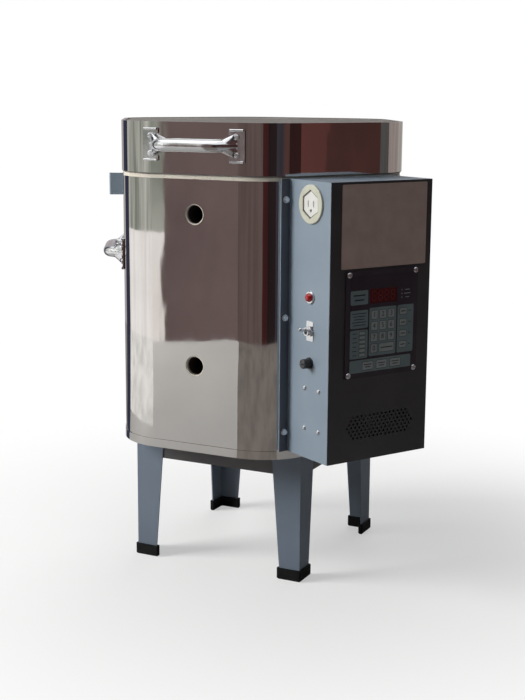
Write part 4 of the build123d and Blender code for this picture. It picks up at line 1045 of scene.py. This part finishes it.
def pale_floor():
    """Pale floor that keeps the shadow near the kiln and fades into the white background."""
    material = bpy.data.materials.new("pale_floor")
    material.use_nodes = True
    nodes, links = material.node_tree.nodes, material.node_tree.links
    shader = nodes["Principled BSDF"]
    shader.inputs["Roughness"].default_value = 0.9
    shader.inputs["Specular IOR Level"].default_value = 0.1
    coords = nodes.new("ShaderNodeTexCoord")
    grain = nodes.new("ShaderNodeTexNoise")
    grain.inputs["Scale"].default_value = 3.0
    links.new(coords.outputs["Object"], grain.inputs["Vector"])
    path = nodes.new("ShaderNodeLightPath")

    def tone(low, high):
        ramp = nodes.new("ShaderNodeValToRGB")
        ramp.color_ramp.elements[0].color = (*low, 1)
        ramp.color_ramp.elements[1].color = (*high, 1)
        links.new(grain.outputs["Fac"], ramp.inputs["Fac"])
        return ramp.outputs["Color"]

    pick = nodes.new("ShaderNodeMix")
    pick.data_type = "RGBA"
    links.new(path.outputs["Is Camera Ray"], pick.inputs["Factor"])
    links.new(tone((0.42, 0.41, 0.40), (0.46, 0.45, 0.44)), pick.inputs["A"])
    links.new(tone((0.93, 0.93, 0.93), (0.95, 0.95, 0.95)), pick.inputs["B"])
    links.new(pick.outputs["Result"], shader.inputs["Base Color"])
    reach = nodes.new("ShaderNodeVectorMath")
    reach.operation = "LENGTH"
    links.new(coords.outputs["Object"], reach.inputs[0])
    fade = nodes.new("ShaderNodeMapRange")
    fade.interpolation_type = "SMOOTHSTEP"
    fade.inputs["From Min"].default_value = FADE_START
    fade.inputs["From Max"].default_value = FADE_END
    fade.inputs["To Min"].default_value = FADE_LEAST
    links.new(reach.outputs["Value"], fade.inputs["Value"])
    seen = nodes.new("ShaderNodeMath")
    seen.operation = "MULTIPLY"
    links.new(fade.outputs["Result"], seen.inputs[0])
    links.new(path.outputs["Is Camera Ray"], seen.inputs[1])
    white = nodes.new("ShaderNodeEmission")
    blend = nodes.new("ShaderNodeMixShader")
    links.new(seen.outputs[0], blend.inputs[0])
    links.new(shader.outputs[0], blend.inputs[1])
    links.new(white.outputs[0], blend.inputs[2])
    links.new(blend.outputs[0], nodes["Material Output"].inputs["Surface"])
    bm = bmesh.new()
    bmesh.ops.create_circle(bm, cap_ends=True, segments=64, radius=FLOOR_RADIUS)
    piece_from(bm, "floor", material)


def studio():
    """White sweep, soft light from the left and a weak fill, and the camera of the photo."""
    scene = bpy.context.scene
    scene.view_settings.view_transform = "Standard"
    world = bpy.data.worlds.new("studio")
    scene.world = world
    world.use_nodes = True
    nodes, links = world.node_tree.nodes, world.node_tree.links
    nodes.clear()
    out = nodes.new("ShaderNodeOutputWorld")
    path = nodes.new("ShaderNodeLightPath")
    seen = nodes.new("ShaderNodeMath")
    seen.operation = "MAXIMUM"
    links.new(path.outputs["Is Camera Ray"], seen.inputs[0])
    links.new(path.outputs["Is Glossy Ray"], seen.inputs[1])
    seen_too = nodes.new("ShaderNodeMath")
    seen_too.operation = "MAXIMUM"
    links.new(seen.outputs[0], seen_too.inputs[0])
    links.new(path.outputs["Is Transmission Ray"], seen_too.inputs[1])
    light = nodes.new("ShaderNodeBackground")
    light.inputs["Color"].default_value = (0.95, 0.97, 1.0, 1.0)
    light.inputs["Strength"].default_value = ROOM_LIGHT
    white = nodes.new("ShaderNodeBackground")
    white.inputs["Color"].default_value = (1.0, 1.0, 1.0, 1.0)
    white.inputs["Strength"].default_value = 1.0
    blend = nodes.new("ShaderNodeMixShader")
    links.new(seen_too.outputs[0], blend.inputs[0])
    links.new(light.outputs[0], blend.inputs[1])
    links.new(white.outputs[0], blend.inputs[2])
    links.new(blend.outputs[0], out.inputs["Surface"])

    pale_floor()
    for name, location, size, watts, colour in LAMPS:
        area_lamp(name, location, size, watts, colour)

    camera_data = bpy.data.cameras.new("camera")
    camera_data.sensor_fit = "VERTICAL"
    camera_data.sensor_height = SENSOR_HEIGHT
    camera_data.lens = SENSOR_HEIGHT * FOCAL_PIXELS / PHOTO_HEIGHT
    camera_data.clip_end = 60.0
    camera = bpy.data.objects.new("camera", camera_data)
    turned = Matrix.Rotation(math.radians(CAMERA_TURN), 4, "Z")
    dipped = Matrix.Rotation(math.radians(90 - CAMERA_DIP), 4, "X")
    rolled = Matrix.Rotation(math.radians(CAMERA_ROLL), 4, "Z")
    place = Matrix.Translation((AXIS_X + CAMERA_OFFSET[0], AXIS_Y + CAMERA_OFFSET[1], CAMERA_OFFSET[2]))
    camera.matrix_world = place @ turned @ dipped @ rolled
    scene.collection.objects.link(camera)
    scene.camera = camera


finish_nodes()
heating_coils()
key_pads()
key_strokes()
key_digits()
plate_marks()
display_segments()
studio_cards()
studio()
